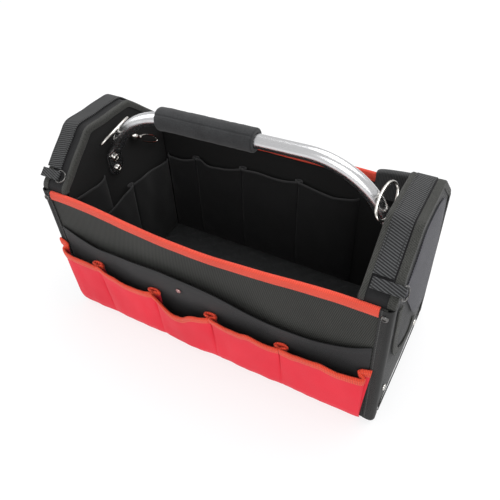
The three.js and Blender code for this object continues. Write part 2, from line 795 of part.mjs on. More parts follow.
// Oval ring lying on the outside of the tube's bend, with its back end higher.
function handleRing(side) {
  const place = THREE.MathUtils.degToRad(ringPlace);
  const lie = THREE.MathUtils.degToRad(ringLie);
  const out = handleBend + tubeRadius + ringWire + ringClearance;
  const reach = bendFrom + out * Math.cos(place);
  const centre = handlePoint(side * reach, handleTop - handleBend + out * Math.sin(place));
  const inward = new THREE.Vector3(-side * Math.cos(lie), 0, Math.sin(lie));
  const back = new THREE.Vector3(0, ringReach, ringTilt).normalize();
  const points = steps(0, 2 * Math.PI, 18).slice(0, 18).map((turn) => {
    const rise = Math.sign(Math.sin(turn)) * Math.abs(Math.sin(turn)) ** ringSquareness;
    return centre.clone()
      .addScaledVector(back, ringReach * Math.cos(turn))
      .addScaledVector(inward, ringHalfWidth * rise);
  });
  return wireLoop(points, inward.clone().cross(back).normalize(), ringWire, 6);
}

// Round dome seated on a face: radius, rise, place and the way it points.
function dome(radius, rise, place, way) {
  const profile = domeProfile.map(({ out, up }) => new THREE.Vector2(radius * out, rise * up));
  const geometry = new THREE.LatheGeometry(profile, 8);
  const turn = new THREE.Quaternion().setFromUnitVectors(new THREE.Vector3(0, 1, 0), way);
  return geometry.applyQuaternion(turn).translate(place.x, place.y, place.z);
}

const library = await Module();
library.setup();

function toSolid(geometry) {
  const mesh = new library.Mesh({
    numProp: 3,
    vertProperties: new Float32Array(geometry.getAttribute("position").array),
    triVerts: new Uint32Array(geometry.getIndex().array),
  });
  return new library.Manifold(mesh);
}

// Small hook hanging on the inner face behind the tube: a faceted ferrule and a wire eye in one.
function hook(side) {
  const half = ferruleRadius * Math.sin(Math.PI / 3);
  const start = new THREE.Vector3(side * (innerHalf - seam - half), hookStart.y, hookStart.z);
  const fall = THREE.MathUtils.degToRad(hookFall);
  const along = new THREE.Vector3(0, Math.cos(fall), -Math.sin(fall));
  const wide = new THREE.Vector3(0, Math.sin(fall), Math.cos(fall));
  const normal = new THREE.Vector3(1, 0, 0);
  const rings = ferrule.map(({ run, radius }) => steps(0, 5, 5).map((k) => start.clone()
    .addScaledVector(along, run)
    .addScaledVector(wide, radius * Math.cos((k * Math.PI) / 3))
    .addScaledVector(normal, radius * Math.sin((k * Math.PI) / 3)).toArray()));
  const eye = steps(0, 2 * Math.PI, 14).slice(0, 14).map((turn) => start.clone()
    .addScaledVector(along, hookEyeAt - hookEyeReach * Math.cos(turn))
    .addScaledVector(wide, hookEyeHalf * Math.sin(turn)));
  const joined = toSolid(loft(rings)).add(toSolid(wireLoop(eye, normal, hookWire, 5)));
  const { vertProperties, triVerts } = joined.getMesh();
  const geometry = new THREE.BufferGeometry();
  geometry.setAttribute("position", new THREE.Float32BufferAttribute(vertProperties, 3));
  geometry.setIndex(Array.from(triVerts));
  return geometry;
}

const finishes = {
  blackCloth: { color: 0x17181a, roughness: 0.85, metalness: 0 },
  liningCloth: { color: 0x0f1011, roughness: 0.9, metalness: 0 },
  boardCloth: { color: 0x26282b, roughness: 0.9, metalness: 0 },
  ridgeCloth: { color: 0x2a2b2e, roughness: 0.9, metalness: 0 },
  ribbedCloth: { color: 0x45454d, roughness: 0.85, metalness: 0 },
  webbing: { color: 0x2f3032, roughness: 0.85, metalness: 0 },
  binding: { color: 0x3a3b38, roughness: 0.9, metalness: 0 },
  blackBinding: { color: 0x0d0d0e, roughness: 0.8, metalness: 0 },
  redCloth: { color: 0xd8202f, roughness: 0.8, metalness: 0 },
  redTape: { color: 0xf0432f, roughness: 0.75, metalness: 0 },
  chrome: { color: 0xd9dadc, roughness: 0.15, metalness: 1 },
  foam: { color: 0x1c1d1f, roughness: 0.95, metalness: 0 },
};

const tote = new THREE.Group();

function add(name, geometry, finish) {
  const mesh = new THREE.Mesh(geometry, new THREE.MeshStandardMaterial(finishes[finish]));
  mesh.name = name;
  tote.add(mesh);
}

add("front_wall", longWall(-1), "blackCloth");
add("back_wall", longWall(1), "blackCloth");
add("rim_tape_front", rimTape(-1), "redTape");
add("rim_tape_back", rimTape(1), "redTape");

const floorHalfDepth = halfDepth(0) - wall - seam;
add("base_panel", floorPlate(skinHalf - wall - seam, floorHalfDepth, 0), "blackCloth");
const boardFoot = floorThickness + seam;
add("floor_board", floorPlate(innerHalf - seam, floorHalfDepth - seam, boardFoot), "boardCloth");

add("slash_pocket", slashPocket(), "blackCloth");
add("tool_pocket_row", toolPocketRow(), "redCloth");
add("tool_pocket_tape", toolPocketTape(), "redTape");
add("back_pocket_row", backPocketRow(), "liningCloth");

const snapFace = (x, z) => new THREE.Vector3(x, -slashFace(x, z), z);
const snapWay = snapFace(snapX + 1, snapZ).sub(snapFace(snapX, snapZ))
  .cross(snapFace(snapX, snapZ + 1).sub(snapFace(snapX, snapZ))).normalize();
const snapPlace = snapFace(snapX, snapZ).addScaledVector(snapWay, 2 * seam);
add("snap_button", dome(snapRadius, snapRise, snapPlace, snapWay), "chrome");

for (const end of ends) {
  const { name, side } = end;
  const innerPanel = endPanel(side, () => innerHalf + wall, floorHalfDepth - seam, boardFoot, 1);
  add(`inner_end_panel_${name}`, innerPanel, "liningCloth");
  const outerPanel = endPanel(side, endFace, floorHalfDepth + wall - cornerTurn, 0, 6);
  add(`outer_end_panel_${name}`, outerPanel, "blackCloth");
  const strip = [[innerHalf, 0], [skinHalf, 0], [skinHalf, -wall], [innerHalf, -wall]];
  add(`ridge_strip_${name}`, overRidge(side, strip, 0, ridgeRun), "ridgeCloth");

  const footRun = ridgeRunAtHeight(rimHeight + seam);
  const pipingX = innerHalf - seam - pipingThickness / 2;
  const pipingRise = seam + pipingThickness / 2;
  const piping = ribbon([[pipingX, -pipingDrop], [pipingX, pipingRise],
    [innerHalf + pipingWidth, pipingRise]], pipingThickness);
  add(`inner_piping_${name}`, overRidge(side, piping, footRun, ridgeRun - footRun), "binding");

  const bindingX = skinHalf + seam + tape / 2;
  const bindingRise = seam + tape / 2;
  const binding = ribbon([[bindingX, -bindingDrop], [bindingX, bindingRise],
    [halfLength - bindingWidth, bindingRise]], tape);
  add(`outer_binding_${name}`, overRidge(side, binding, footRun, ridgeRun - footRun), "binding");

  for (const [where, face] of [["front", -1], ["back", 1]]) {
    add(`corner_binding_${name}_${where}`, cornerBinding(side, face), "blackBinding");
  }

  const strapOuter = halfLength - end.strapInset * endThickness;
  const strapLow = halfLength - strapOuter > bindingWidth ? seam : 2 * seam + tape;
  const strap = [[strapOuter - strapWidth, strapLow], [strapOuter, strapLow]];
  strap.push([strapOuter, strapLow + webbing], [strapOuter - strapWidth, strapLow + webbing]);
  const strapRun = tabRun + tabWidth / 2 + strapGap;
  add(`webbing_strap_${name}`, overRidge(side, strap, strapRun, ridgeRun - strapRun), "webbing");
  add(`ring_tab_${name}`, ringTab(end), "webbing");
  add(`strap_ring_${name}`, strapRing(end), "chrome");

  add(`end_pocket_row_${name}`, endPocketRow(side, endPockets, 3 * seam + cloth), "liningCloth");
  add(`end_tall_pocket_${name}`, endPocketRow(side, tallPockets, 0), "liningCloth");
  add(`corner_wrap_${name}`, cornerWrap(side), "ribbedCloth");

  const patch = patchColumns.map(({ across, low, high }) => ({
    y: (across * baseDepth) / 2,
    low: low * ridgeHeight,
    high: high * ridgeHeight,
  }));
  add(`end_patch_${name}`, onEnd(side, patch, 3 * seam, cloth, 4), "ribbedCloth");
  const lowEdge = steps(-1, 1, 6).map((share) => ({
    y: share * (floorHalfDepth - cornerTurn - baseBindingInset),
    low: baseBindingLow,
    high: baseBindingHigh,
  }));
  add(`base_binding_${name}`, onEnd(side, lowEdge, 2 * seam, tape, 1), "blackBinding");

  const holder = holderPath.map(({ across, up }) => [(across * baseDepth) / 2, up * ridgeHeight]);
  const band = ribbon(holder, holderWidth);
  const bandRings = holder.map((_, i) => {
    const near = band[i];
    const far = band[band.length - 1 - i];
    const face = (at, rise) => [side * (endFace(at[0], at[1]) + rise), at[0], at[1]];
    const [low, high] = [2 * seam, 2 * seam + webbing];
    return [face(near, low), face(far, low), face(far, high), face(near, high)];
  });
  add(`end_holder_${name}`, loft(bandRings), "binding");

  const outward = new THREE.Vector3(side, 0, 0);
  for (const { where, across, up } of endRivets) {
    const y = (across * baseDepth) / 2;
    const z = up * ridgeHeight;
    const place = new THREE.Vector3(side * (endFace(y, z) + 2 * seam), y, z);
    add(`end_rivet_${name}_${where}`, dome(rivetRadius, rivetRise, place, outward), "chrome");
  }
  const rivetX = side * (skinHalf - cornerTurn);
  const rivetY = -halfDepth(tapeRivetHeight) - 2 * seam - tape;
  const rivetPlace = new THREE.Vector3(rivetX, rivetY, tapeRivetHeight);
  const forward = new THREE.Vector3(0, -1, 0);
  add(`tape_rivet_${name}`, dome(rivetRadius, rivetRise, rivetPlace, forward), "chrome");

  boltHeights.forEach((z, i) => {
    const place = handlePoint(side * (innerHalf - tangThickness - 2 * seam), z);
    const inward = new THREE.Vector3(-side, 0, 0);
    add(`handle_bolt_${name}_${i + 1}`, dome(boltRadius, boltRise, place, inward), "chrome");
  });
  add(`handle_ring_${name}`, handleRing(side), "chrome");
  add(`hook_${name}`, hook(side), "chrome");
}

add("handle_tube", handleTube(), "chrome");
add("handle_grip", handleGrip(), "foam");

export default tote;
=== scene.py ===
"""Looks of the open top tool tote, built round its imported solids."""

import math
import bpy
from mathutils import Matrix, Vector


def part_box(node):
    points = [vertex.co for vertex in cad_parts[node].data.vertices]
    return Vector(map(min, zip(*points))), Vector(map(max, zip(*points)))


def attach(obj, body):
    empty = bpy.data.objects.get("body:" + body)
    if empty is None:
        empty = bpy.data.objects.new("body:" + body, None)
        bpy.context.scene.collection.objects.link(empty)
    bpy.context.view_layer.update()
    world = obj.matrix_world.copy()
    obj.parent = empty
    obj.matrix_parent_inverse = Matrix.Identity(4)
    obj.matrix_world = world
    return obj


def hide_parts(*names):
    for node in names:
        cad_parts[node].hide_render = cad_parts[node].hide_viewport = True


bl_info = {
    "name": "Open top tool tote",
    "version": (1, 0, 0),
    "blender": (4, 5, 0),
    "location": "View3D > Sidebar > Tote",
    "description": "Dresses the packed tote in cloth, tape, webbing and plated steel",
    "category": "Object",
}

import bpy
from mathutils import Matrix, Vector, noise
from mathutils.kdtree import KDTree

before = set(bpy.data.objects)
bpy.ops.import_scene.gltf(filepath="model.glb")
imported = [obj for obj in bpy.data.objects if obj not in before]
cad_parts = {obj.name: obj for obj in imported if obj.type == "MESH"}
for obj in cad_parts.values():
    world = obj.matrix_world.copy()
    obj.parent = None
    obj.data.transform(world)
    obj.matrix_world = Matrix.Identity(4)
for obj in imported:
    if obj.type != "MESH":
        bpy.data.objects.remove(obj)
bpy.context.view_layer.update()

MM = 0.001

# Sizes of the solids, in millimetres
LENGTH = 508
BASE_DEPTH = 228
RIM_DEPTH = 240
RIM_HEIGHT = 225
RIDGE_HEIGHT = 290
RIDGE_FLAT = 90
END_THICKNESS = 40.5
RIM_BOW = 11
RIM_SAG = 4
END_BULGE = 8
CORNER_RADIUS = 14
WALL = 3
FLOOR = 3
CLOTH = 1.4
TAPE = 1.2
TAPE_WIDTH = 13
SEAM = 0.3
CORNER_TURN = 7
CORNER_LEG = 8
BINDING_DROP = 8
SLASH_TOP = 150
SLASH_FOOT = 84
SLASH_GAPE = 9.5
POCKET_GAPE = 15
TUBE_RADIUS = 9.5
TANG_THICKNESS = 4
TANG_WIDTH = 30
TANG_TIP = 198
TANG_FLAT = 34
TANG_TAPER = 20
HANDLE_TOP = 312
HANDLE_BEND = 115
HANDLE_SHIFT = -4
HANDLE_SKEW = 7
BOLT_HEIGHTS = (207, 226)
GRIP_START = -113
GRIP_LENGTH = 143
GRIP_RADIUS = 15.75
GRIP_CORNER = 3
BOARD_CORNER = 7
WRAP_FROM = 62
WRAP_TO = 9
WRAP_DROP = 36
WRAP_RISE = 10
WRAP_SHORT_DROP = 8
RING_PLACE = math.radians(36)
RING_REACH = 30
RING_HALF_WIDTH = 11.5
RING_TILT = 5.6
RING_WIRE = 2.1
RING_CLEARANCE = 1
HOOK_Y = 31
HOOK_Z = 239
HOOK_FALL = math.radians(33.5)
EYE_AT = 44
EYE_REACH = 24
EYE_HALF_WIDTH = 6
EYE_WIRE = 1.4

# The photo's camera, in metres, radians and millimetres
CAMERA_PLACE = (0.3216243, -0.5148304, 0.6723974)
CAMERA_YAW = 0.5449
CAMERA_PITCH = 0.7442
CAMERA_ROLL = -0.0571
CAMERA_LENS = 39.63
CAMERA_SENSOR = 36

UV_PER_METRE = 10
MM_PER_UV = 100

SIDES = (("left", -1), ("right", 1))
FACES = (("front", -1), ("back", 1))

HALF_LENGTH = LENGTH / 2
INNER_HALF = HALF_LENGTH - END_THICKNESS
SKIN_HALF = HALF_LENGTH - TAPE - SEAM
SLASH_EDGE = HALF_LENGTH - 16.5
SLOPE = (RIDGE_HEIGHT - RIM_HEIGHT) / (RIM_DEPTH / 2 - RIDGE_FLAT / 2)
WALL_END = SKIN_HALF - CORNER_TURN + TAPE
BEND_FROM = INNER_HALF - SEAM - TANG_THICKNESS / 2 - HANDLE_BEND
POCKET_FOOT = 2 * (FLOOR + SEAM) + SEAM

# Rim of the red pockets: place along the bag and height.
TOOL_RIM = (
    (-244, 122), (-232, 122), (-200, 122), (-178, 121), (-155, 120), (-139, 118), (-112, 111),
    (-85, 113), (-66, 112), (-56, 99), (-40, 90), (-24, 90), (-8, 104), (10, 108), (34, 111),
    (58, 109), (84, 112), (104, 104), (118, 102), (139, 102), (160, 107), (187, 107), (218, 104), (235, 101),
)
TOOL_SEAMS = (-172, -74, 20.5, 123)

# Rim of the flat pocket behind them.
SLASH_RIM = (
    (-238, 163), (-207, 156), (-162, 152), (-112, 157), (-54, 161), (-20, 161), (28, 158),
    (79, 145), (123, 136), (165, 136), (204, 143), (238, 156),
)

# Rims of the pockets inside: place along the wall and height.
BACK_RIM = (
    (-210, 162), (-175, 164), (-152, 170), (-139, 172), (-127, 165), (-104, 166), (-84, 168), (-65, 173),
    (-30, 175), (0, 174), (35, 177), (52, 176), (86, 172), (110, 173), (132, 176),
)
BACK_SEAMS = (-150, -64, 35)
END_RIM = ((-105, 152), (-63, 157), (-27, 163), (3, 167), (20, 168), (38, 168), (70, 163), (105, 155))
END_SEAMS = (5,)
TALL_RIM = ((-105, 211), (-80, 210), (-55, 208), (-38, 209))


def curve_at(table, at):
    """Value at a place in a table of (place, value), on a smooth curve through its rows."""
    if at <= table[0][0]:
        return table[0][1]
    if at >= table[-1][0]:
        return table[-1][1]
    i = next(k for k in range(len(table) - 1) if at <= table[k + 1][0])
    (a, low), (b, high) = table[i], table[i + 1]
    span = b - a

    def lean(k):
        before, after = table[max(k - 1, 0)], table[min(k + 1, len(table) - 1)]
        return (after[1] - before[1]) / (after[0] - before[0]) * span

    t = (at - a) / span
    return (
        low * (1 + 2 * t) * (1 - t) ** 2
        + lean(i) * t * (1 - t) ** 2
        + high * t * t * (3 - 2 * t)
        + lean(i + 1) * t * t * (t - 1)
    )


def blend(low, high, share):
    return low + (high - low) * share


def ease(share):
    share = min(1, max(0, share))
    return share * share * (3 - 2 * share)


def crease(x, z, size, seed):
    """Soft unevenness of cloth, from -1 to 1."""
    return noise.noise(Vector((x / size, z / size, seed)))


# The surfaces that the pieces lie on, as in the solids


def half_depth(z):
    return (BASE_DEPTH + (RIM_DEPTH - BASE_DEPTH) * z / RIM_HEIGHT) / 2 - TAPE - SEAM


def mid_share(x):
    off = min(1, abs(x) / INNER_HALF)
    return (1 - off * off) ** 2


def wall_face(x, z):
    return half_depth(z) + RIM_BOW * mid_share(x) * (max(z, 0) / RIM_HEIGHT) ** 2


def rim_top(x):
    return RIM_HEIGHT - RIM_SAG * mid_share(x)


def corner_rise(from_edge):
    off = max(0, CORNER_RADIUS - from_edge)
    return CORNER_RADIUS - math.sqrt(max(0, CORNER_RADIUS**2 - off**2))


def swell_edge():
    return half_depth(0) - CORNER_TURN - CORNER_LEG - 2 * TAPE


def swell_top(y):
    return RIDGE_HEIGHT - SLOPE * max(0, abs(y) - RIDGE_FLAT / 2) - 2 * BINDING_DROP


def end_face(y, z):
    across = 1 - min(1, abs(y) / swell_edge()) ** 2
    share = min(1, max(0, z) / swell_top(y))
    return SKIN_HALF + END_BULGE * across * (1 - (2 * share - 1) ** 2)


def slash_face(x, z):
    share = min(1, max(0, (z - SLASH_FOOT) / (SLASH_TOP - SLASH_FOOT)))
    along = max(0, 1 - (x / SLASH_EDGE) ** 4)
    return wall_face(x, z) + SEAM + CLOTH + SLASH_GAPE * share * share * (3 - 2 * share) * along


def ridge_path():
    """Points along the top of an end, from its front foot to its back foot."""
    foot = half_depth(RIM_HEIGHT - TAPE_WIDTH) - WALL - TAPE - 2 * SEAM
    shoulder = RIDGE_HEIGHT - SLOPE * (foot - RIDGE_FLAT / 2)
    low = RIM_HEIGHT - TAPE_WIDTH
    flat = RIDGE_FLAT / 2
    corners = [
        (-foot, low, 0), (-foot, shoulder, 12), (-flat, RIDGE_HEIGHT, 18),
        (flat, RIDGE_HEIGHT, 18), (foot, shoulder, 12), (foot, low, 0),
    ]
    points = []
    for i, (y, z, radius) in enumerate(corners):
        here = Vector((y, z))
        if not radius:
            points.append(here)
            continue
        enter = (here - Vector(corners[i - 1][:2])).normalized()
        leave = (Vector(corners[i + 1][:2]) - here).normalized()
        turn = enter.angle(leave)
        start = here - enter * radius * math.tan(turn / 2)
        centre = start + Vector((enter.y, -enter.x)) * radius
        first = math.atan2(enter.x, -enter.y)
        for k in range(9):
            angle = first - turn * k / 8
            points.append(centre + radius * Vector((math.cos(angle), math.sin(angle))))
    return points


RIDGE = ridge_path()
RIDGE_RUNS = [0]
for before, after in zip(RIDGE, RIDGE[1:]):
    RIDGE_RUNS.append(RIDGE_RUNS[-1] + (after - before).length)
RIDGE_RUN = RIDGE_RUNS[-1]


def ridge_point(run):
    run = min(max(run, 0), RIDGE_RUN)
    i = next(k for k in range(1, len(RIDGE)) if RIDGE_RUNS[k] >= run)
    share = (run - RIDGE_RUNS[i - 1]) / (RIDGE_RUNS[i] - RIDGE_RUNS[i - 1])
    return RIDGE[i - 1].lerp(RIDGE[i], share)


def over_ridge(side, x, rise, run):
    """Place over the ridge: distance from the bag's middle, height over the ridge and run along it."""
    along = (ridge_point(run + 1.5) - ridge_point(run - 1.5)).normalized()
    at = ridge_point(run) + Vector((-along.y, along.x)) * rise
    return Vector((side * x, at.x, at.y))


def run_at_height(z):
    """Where the front of the ridge passes a height."""
    i = next(k for k in range(1, len(RIDGE)) if RIDGE[k].y >= z)
    share = (z - RIDGE[i - 1].y) / (RIDGE[i].y - RIDGE[i - 1].y)
    return blend(RIDGE_RUNS[i - 1], RIDGE_RUNS[i], share)


def under_ridge(y):
    """Underside of the ridge strip at a place across the bag."""
    low = None
    for k in range(121):
        point = over_ridge(1, 0, -WALL - SEAM, RIDGE_RUN * k / 120)
        if low is not None and low.y <= y <= point.y:
            return blend(low.z, point.z, (y - low.y) / max(point.y - low.y, 0.001))
        low = point
    return RIM_HEIGHT


def handle_point(x, z):
    return Vector((x, HANDLE_SHIFT + HANDLE_SKEW * x / INNER_HALF, z))


def handle_height(x):
    off = max(0, abs(x) - BEND_FROM)
    return HANDLE_TOP - HANDLE_BEND + math.sqrt(HANDLE_BEND**2 - off**2)


def handle_reach(z):
    return BEND_FROM + math.sqrt(max(0, HANDLE_BEND**2 - (z - HANDLE_TOP + HANDLE_BEND) ** 2))


# Making pieces


def clear_selection():
    for item in bpy.context.selected_objects:
        item.select_set(False)


def use(piece):
    clear_selection()
    piece.select_set(True)
    bpy.context.view_layer.objects.active = piece


def sheet(name, columns, rows, place):
    """A grid of cloth. Place turns shares across and up into millimetres, and the UV map is in decimetres."""
    clear_selection()
    bpy.ops.mesh.primitive_grid_add(x_subdivisions=columns, y_subdivisions=rows, size=1)
    piece = bpy.context.object
    piece.name = name
    piece.data.name = name
    points = [[Vector(place(j / columns, k / rows)) * MM for k in range(rows + 1)] for j in range(columns + 1)]
    at = []
    for vertex in piece.data.vertices:
        j, k = round((vertex.co.x + 0.5) * columns), round((vertex.co.y + 0.5) * rows)
        at.append((j, k))
        vertex.co = points[j][k]
    middle_row, middle_column = rows // 2, columns // 2
    across, up = [0], [0]
    for j in range(columns):
        across.append(across[-1] + (points[j + 1][middle_row] - points[j][middle_row]).length)
    for k in range(rows):
        up.append(up[-1] + (points[middle_column][k + 1] - points[middle_column][k]).length)
    layer = piece.data.uv_layers.active.data
    for loop in piece.data.loops:
        j, k = at[loop.vertex_index]
        layer[loop.index].uv = (across[j] * UV_PER_METRE, up[k] * UV_PER_METRE)
    area = sum(face.area for face in piece.data.polygons)
    width = max(sum((points[j + 1][k] - points[j][k]).length for j in range(columns)) for k in range(rows + 1))
    height = max(sum((points[j][k + 1] - points[j][k]).length for k in range(rows)) for j in range(columns + 1))
    piece["cut"] = [width, height, area]
    return piece


def finish_with(piece, kind, **settings):
    """Adds a modifier and applies it."""
    use(piece)
    bpy.ops.object.modifier_add(type=kind)
    modifier = piece.modifiers[-1]
    for key, value in settings.items():
        setattr(modifier, key, value)
    bpy.ops.object.modifier_apply(modifier=modifier.name)


def thicken(piece, thickness, even=True):
    finish_with(piece, "SOLIDIFY", thickness=thickness * MM, offset=0, use_even_offset=even)
    smooth(piece)
    return piece


def smooth(piece, angle=50):
    use(piece)
    bpy.ops.object.shade_smooth_by_angle(angle=math.radians(angle))


def close_up(piece, fill=True):
    """Joins doubled points, fills the ends and turns the faces outwards."""
    use(piece)
    bpy.ops.object.mode_set(mode="EDIT")
    bpy.ops.mesh.select_all(action="SELECT")
    bpy.ops.mesh.remove_doubles(threshold=0.00002)
    if fill:
        bpy.ops.mesh.select_all(action="SELECT")
        bpy.ops.mesh.fill_holes(sides=0)
    bpy.ops.mesh.select_all(action="SELECT")
    bpy.ops.mesh.normals_make_consistent(inside=False)
    bpy.ops.object.mode_set(mode="OBJECT")
    smooth(piece)
    return piece


def wire(name, points, radius, sides):
    """A round wire along a closed line of points, in millimetres."""
    count = len(points)
    normal = Vector()
    for j in range(count):
        normal += (points[j] - points[j - 1]).cross(points[(j + 1) % count] - points[j])
    normal.normalize()

    def place(u, v):
        j = round(u * count) % count
        along = (points[(j + 1) % count] - points[j - 1]).normalized()
        out = along.cross(normal).normalized()
        up = out.cross(along).normalized()
        angle = 2 * math.pi * (v % 1)
        return points[j] + radius * (out * math.cos(angle) + up * math.sin(angle))

    return close_up(sheet(name, count, sides, place), fill=False)


def stuff(piece, most):
    """Swells a padded board by a short cloth simulation, and takes over its moves up to a limit."""
    use(piece)
    bpy.ops.object.duplicate()
    body = bpy.context.object
    body.data.remesh_voxel_size = 6 * MM
    body.data.remesh_voxel_adaptivity = 0
    bpy.ops.object.voxel_remesh()
    rest = [vertex.co.copy() for vertex in body.data.vertices]
    bpy.ops.object.modifier_add(type="CLOTH")
    cloth = body.modifiers[-1]
    cloth.settings.use_pressure = True
    cloth.settings.uniform_pressure_force = 4
    cloth.settings.effector_weights.gravity = 0
    cloth.settings.quality = 5
    for step in range(1, 21):
        bpy.context.scene.frame_set(step)
    swollen = body.evaluated_get(bpy.context.evaluated_depsgraph_get())
    moved = [after.co - before for after, before in zip(swollen.data.vertices, rest)]
    tree = KDTree(len(rest))
    for index, place in enumerate(rest):
        tree.insert(place, index)
    tree.balance()
    for vertex in piece.data.vertices:
        near = tree.find_n(vertex.co, 4)
        push = sum((moved[index] for _, index, _ in near), Vector()) / len(near)
        if vertex.normal.z > 0:
            vertex.co.z += min(max(push.z, 0), most * MM)
    bpy.data.objects.remove(body)
    bpy.context.scene.frame_set(1)


def settle(piece, slot, paint, *nodes):
    """Gives a piece its finish and its place in the frame, and hides the solids it stands for."""
    piece.data.materials.clear()
    piece.data.materials.append(finish(paint))
    if nodes:
        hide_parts(*nodes)
    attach(piece, "root")
    return piece


def lay(name, columns, rows, place, thickness, slot, paint, *nodes, even=True):
    """A sheet of cloth, thickened, finished and put in the frame."""
    return settle(thicken(sheet(name, columns, rows, place), thickness, even), slot, paint, *nodes)


def cut_sheet(piece):
    """Works out the smaller of a sheet's area and the size it was cut to, and keeps nothing."""
    width, height, area = piece["cut"]
    min(area, width * height)


# Materials


class Socket:
    """A shader socket that sums, products and powers turn into Math nodes."""

    def __init__(self, tree, socket):
        self.tree = tree
        self.socket = socket

    def join(self, operation, first, second):
        node = self.tree.nodes.new("ShaderNodeMath")
        node.operation = operation
        feed(self.tree, node.inputs[0], first)
        feed(self.tree, node.inputs[1], second)
        return Socket(self.tree, node.outputs[0])

    def __add__(self, other):
        return self.join("ADD", self, other)

    def __radd__(self, other):
        return self.join("ADD", other, self)

    def __sub__(self, other):
        return self.join("SUBTRACT", self, other)

    def __rsub__(self, other):
        return self.join("SUBTRACT", other, self)

    def __mul__(self, other):
        return self.join("MULTIPLY", self, other)

    def __rmul__(self, other):
        return self.join("MULTIPLY", other, self)

    def __truediv__(self, other):
        return self.join("DIVIDE", self, other)

    def __rtruediv__(self, other):
        return self.join("DIVIDE", other, self)

    def __pow__(self, other):
        return self.join("POWER", self, other)


def feed(tree, entry, value):
    """Links a socket to an input, or sets the input's own value."""
    if isinstance(value, Socket):
        tree.links.new(value.socket, entry)
    elif entry.type == "RGBA":
        entry.default_value = (*value, 1)
    else:
        entry.default_value = value


class Paint:
    """The nodes of one material."""

    def __init__(self, name, rough, **constants):
        self.material = bpy.data.materials.new(name)
        self.material.use_nodes = True
        self.tree = self.material.node_tree
        self.shader = next(node for node in self.tree.nodes if node.type == "BSDF_PRINCIPLED")
        self.shader.inputs["Roughness"].default_value = rough
        for key, value in constants.items():
            feed(self.tree, self.shader.inputs[key.replace("_", " ")], value)

    def node(self, kind, output, values, **settings):
        """One node: its settings first, then the values or links of its sockets."""
        made = self.tree.nodes.new("ShaderNode" + kind)
        for key, value in settings.items():
            setattr(made, key, value)
        for key, value in values.items():
            feed(self.tree, made.inputs[key], value)
        return Socket(self.tree, made.outputs[output])

    def sine(self, value):
        return self.node("Math", 0, {0: value}, operation="SINE")

    def ramp(self, value, low, high):
        """0 below low, 1 above high and eased between them."""
        values = {"Value": value, "From Min": low, "From Max": high}
        return self.node("MapRange", "Result", values, interpolation_type="SMOOTHSTEP")

    def mix(self, share, first, second):
        return self.node("Mix", 2, {0: share, 6: first, 7: second}, data_type="RGBA")

    def grain(self, scale, detail, stretch=(1, 1, 1)):
        """Noise over the object, with its scale in features a metre."""
        coords = self.node("TexCoord", "Object", {})
        if stretch != (1, 1, 1):
            coords = self.node("Mapping", "Vector", {"Vector": coords, "Scale": stretch})
        return self.node("TexNoise", 0, {"Vector": coords, "Scale": scale, "Detail": detail})

    def across_up(self):
        """Distances over the piece's own map, in millimetres."""
        across = self.node("SeparateXYZ", 0, {0: self.node("TexCoord", "UV", {})})
        up = Socket(self.tree, across.socket.node.outputs[1])
        return across * MM_PER_UV, up * MM_PER_UV

    def colour(self, value):
        feed(self.tree, self.shader.inputs["Base Color"], value)

    def rough(self, value):
        feed(self.tree, self.shader.inputs["Roughness"], value)

    def bump(self, height, distance):
        values = {"Height": height, "Distance": distance * MM, "Strength": 1.0}
        feed(self.tree, self.shader.inputs["Normal"], self.node("Bump", "Normal", values))


def shade(colour, share):
    return tuple(part * share for part in colour)


def woven(colour, pitch, weave, depth, rough, sheen, contrast, speckle, light=None, stitches=(), thread=None):
    """Cloth, tape or webbing: threads at a pitch in millimetres, heathered, with rows of stitches.

    A row of stitches is (way it runs, distance from the piece's edge, length of a stitch).
    """
    paint = Paint("woven", rough, Sheen_Weight=sheen, Sheen_Roughness=0.5, Specular_IOR_Level=0.25)
    across, up = paint.across_up()
    turn = 2 * math.pi / pitch
    if weave == "plain":
        threads = paint.sine(across * turn) * paint.sine(up * turn)
    elif weave == "twill":
        threads = paint.sine((across + up) * turn)
    elif weave == "slant":
        threads = paint.sine((across * 0.94 + up * 0.34) * turn)
    elif weave == "band":
        threads = paint.sine((across + up * 0.3) * turn) * 0.7
        threads = threads + paint.sine((up - across * 0.12) * turn * 0.9) * 0.3
    else:
        threads = paint.sine(across * turn)
    lift = threads * 0.5 + 0.5
    fleck = paint.grain(1400, 1.0)
    drift = paint.grain(14, 2.0)
    tone = lift * contrast + (1 - contrast) + (fleck - 0.5) * speckle * 2 + (drift - 0.5) * 0.35
    dark, bright = shade(colour, 0.45), light or shade(colour, 1.25)
    base = paint.mix(paint.ramp(tone, 0.2, 1.35), dark, bright)
    height = lift
    for way, distance, step in stitches:
        along, off = (across, up) if way == "across" else (up, across)
        row = 1 - paint.ramp(paint.node("Math", 0, {0: off - distance}, operation="ABSOLUTE"), 0.3, 0.55)
        dash = paint.ramp(paint.sine(along * (2 * math.pi / step)), -0.45, -0.1)
        stitch = row * dash
        base = paint.mix(stitch, base, thread or shade(colour, 1.9))
        height = height + stitch * 1.6 - row * 0.9
    paint.colour(base)
    paint.bump(height, depth)
    return paint.material


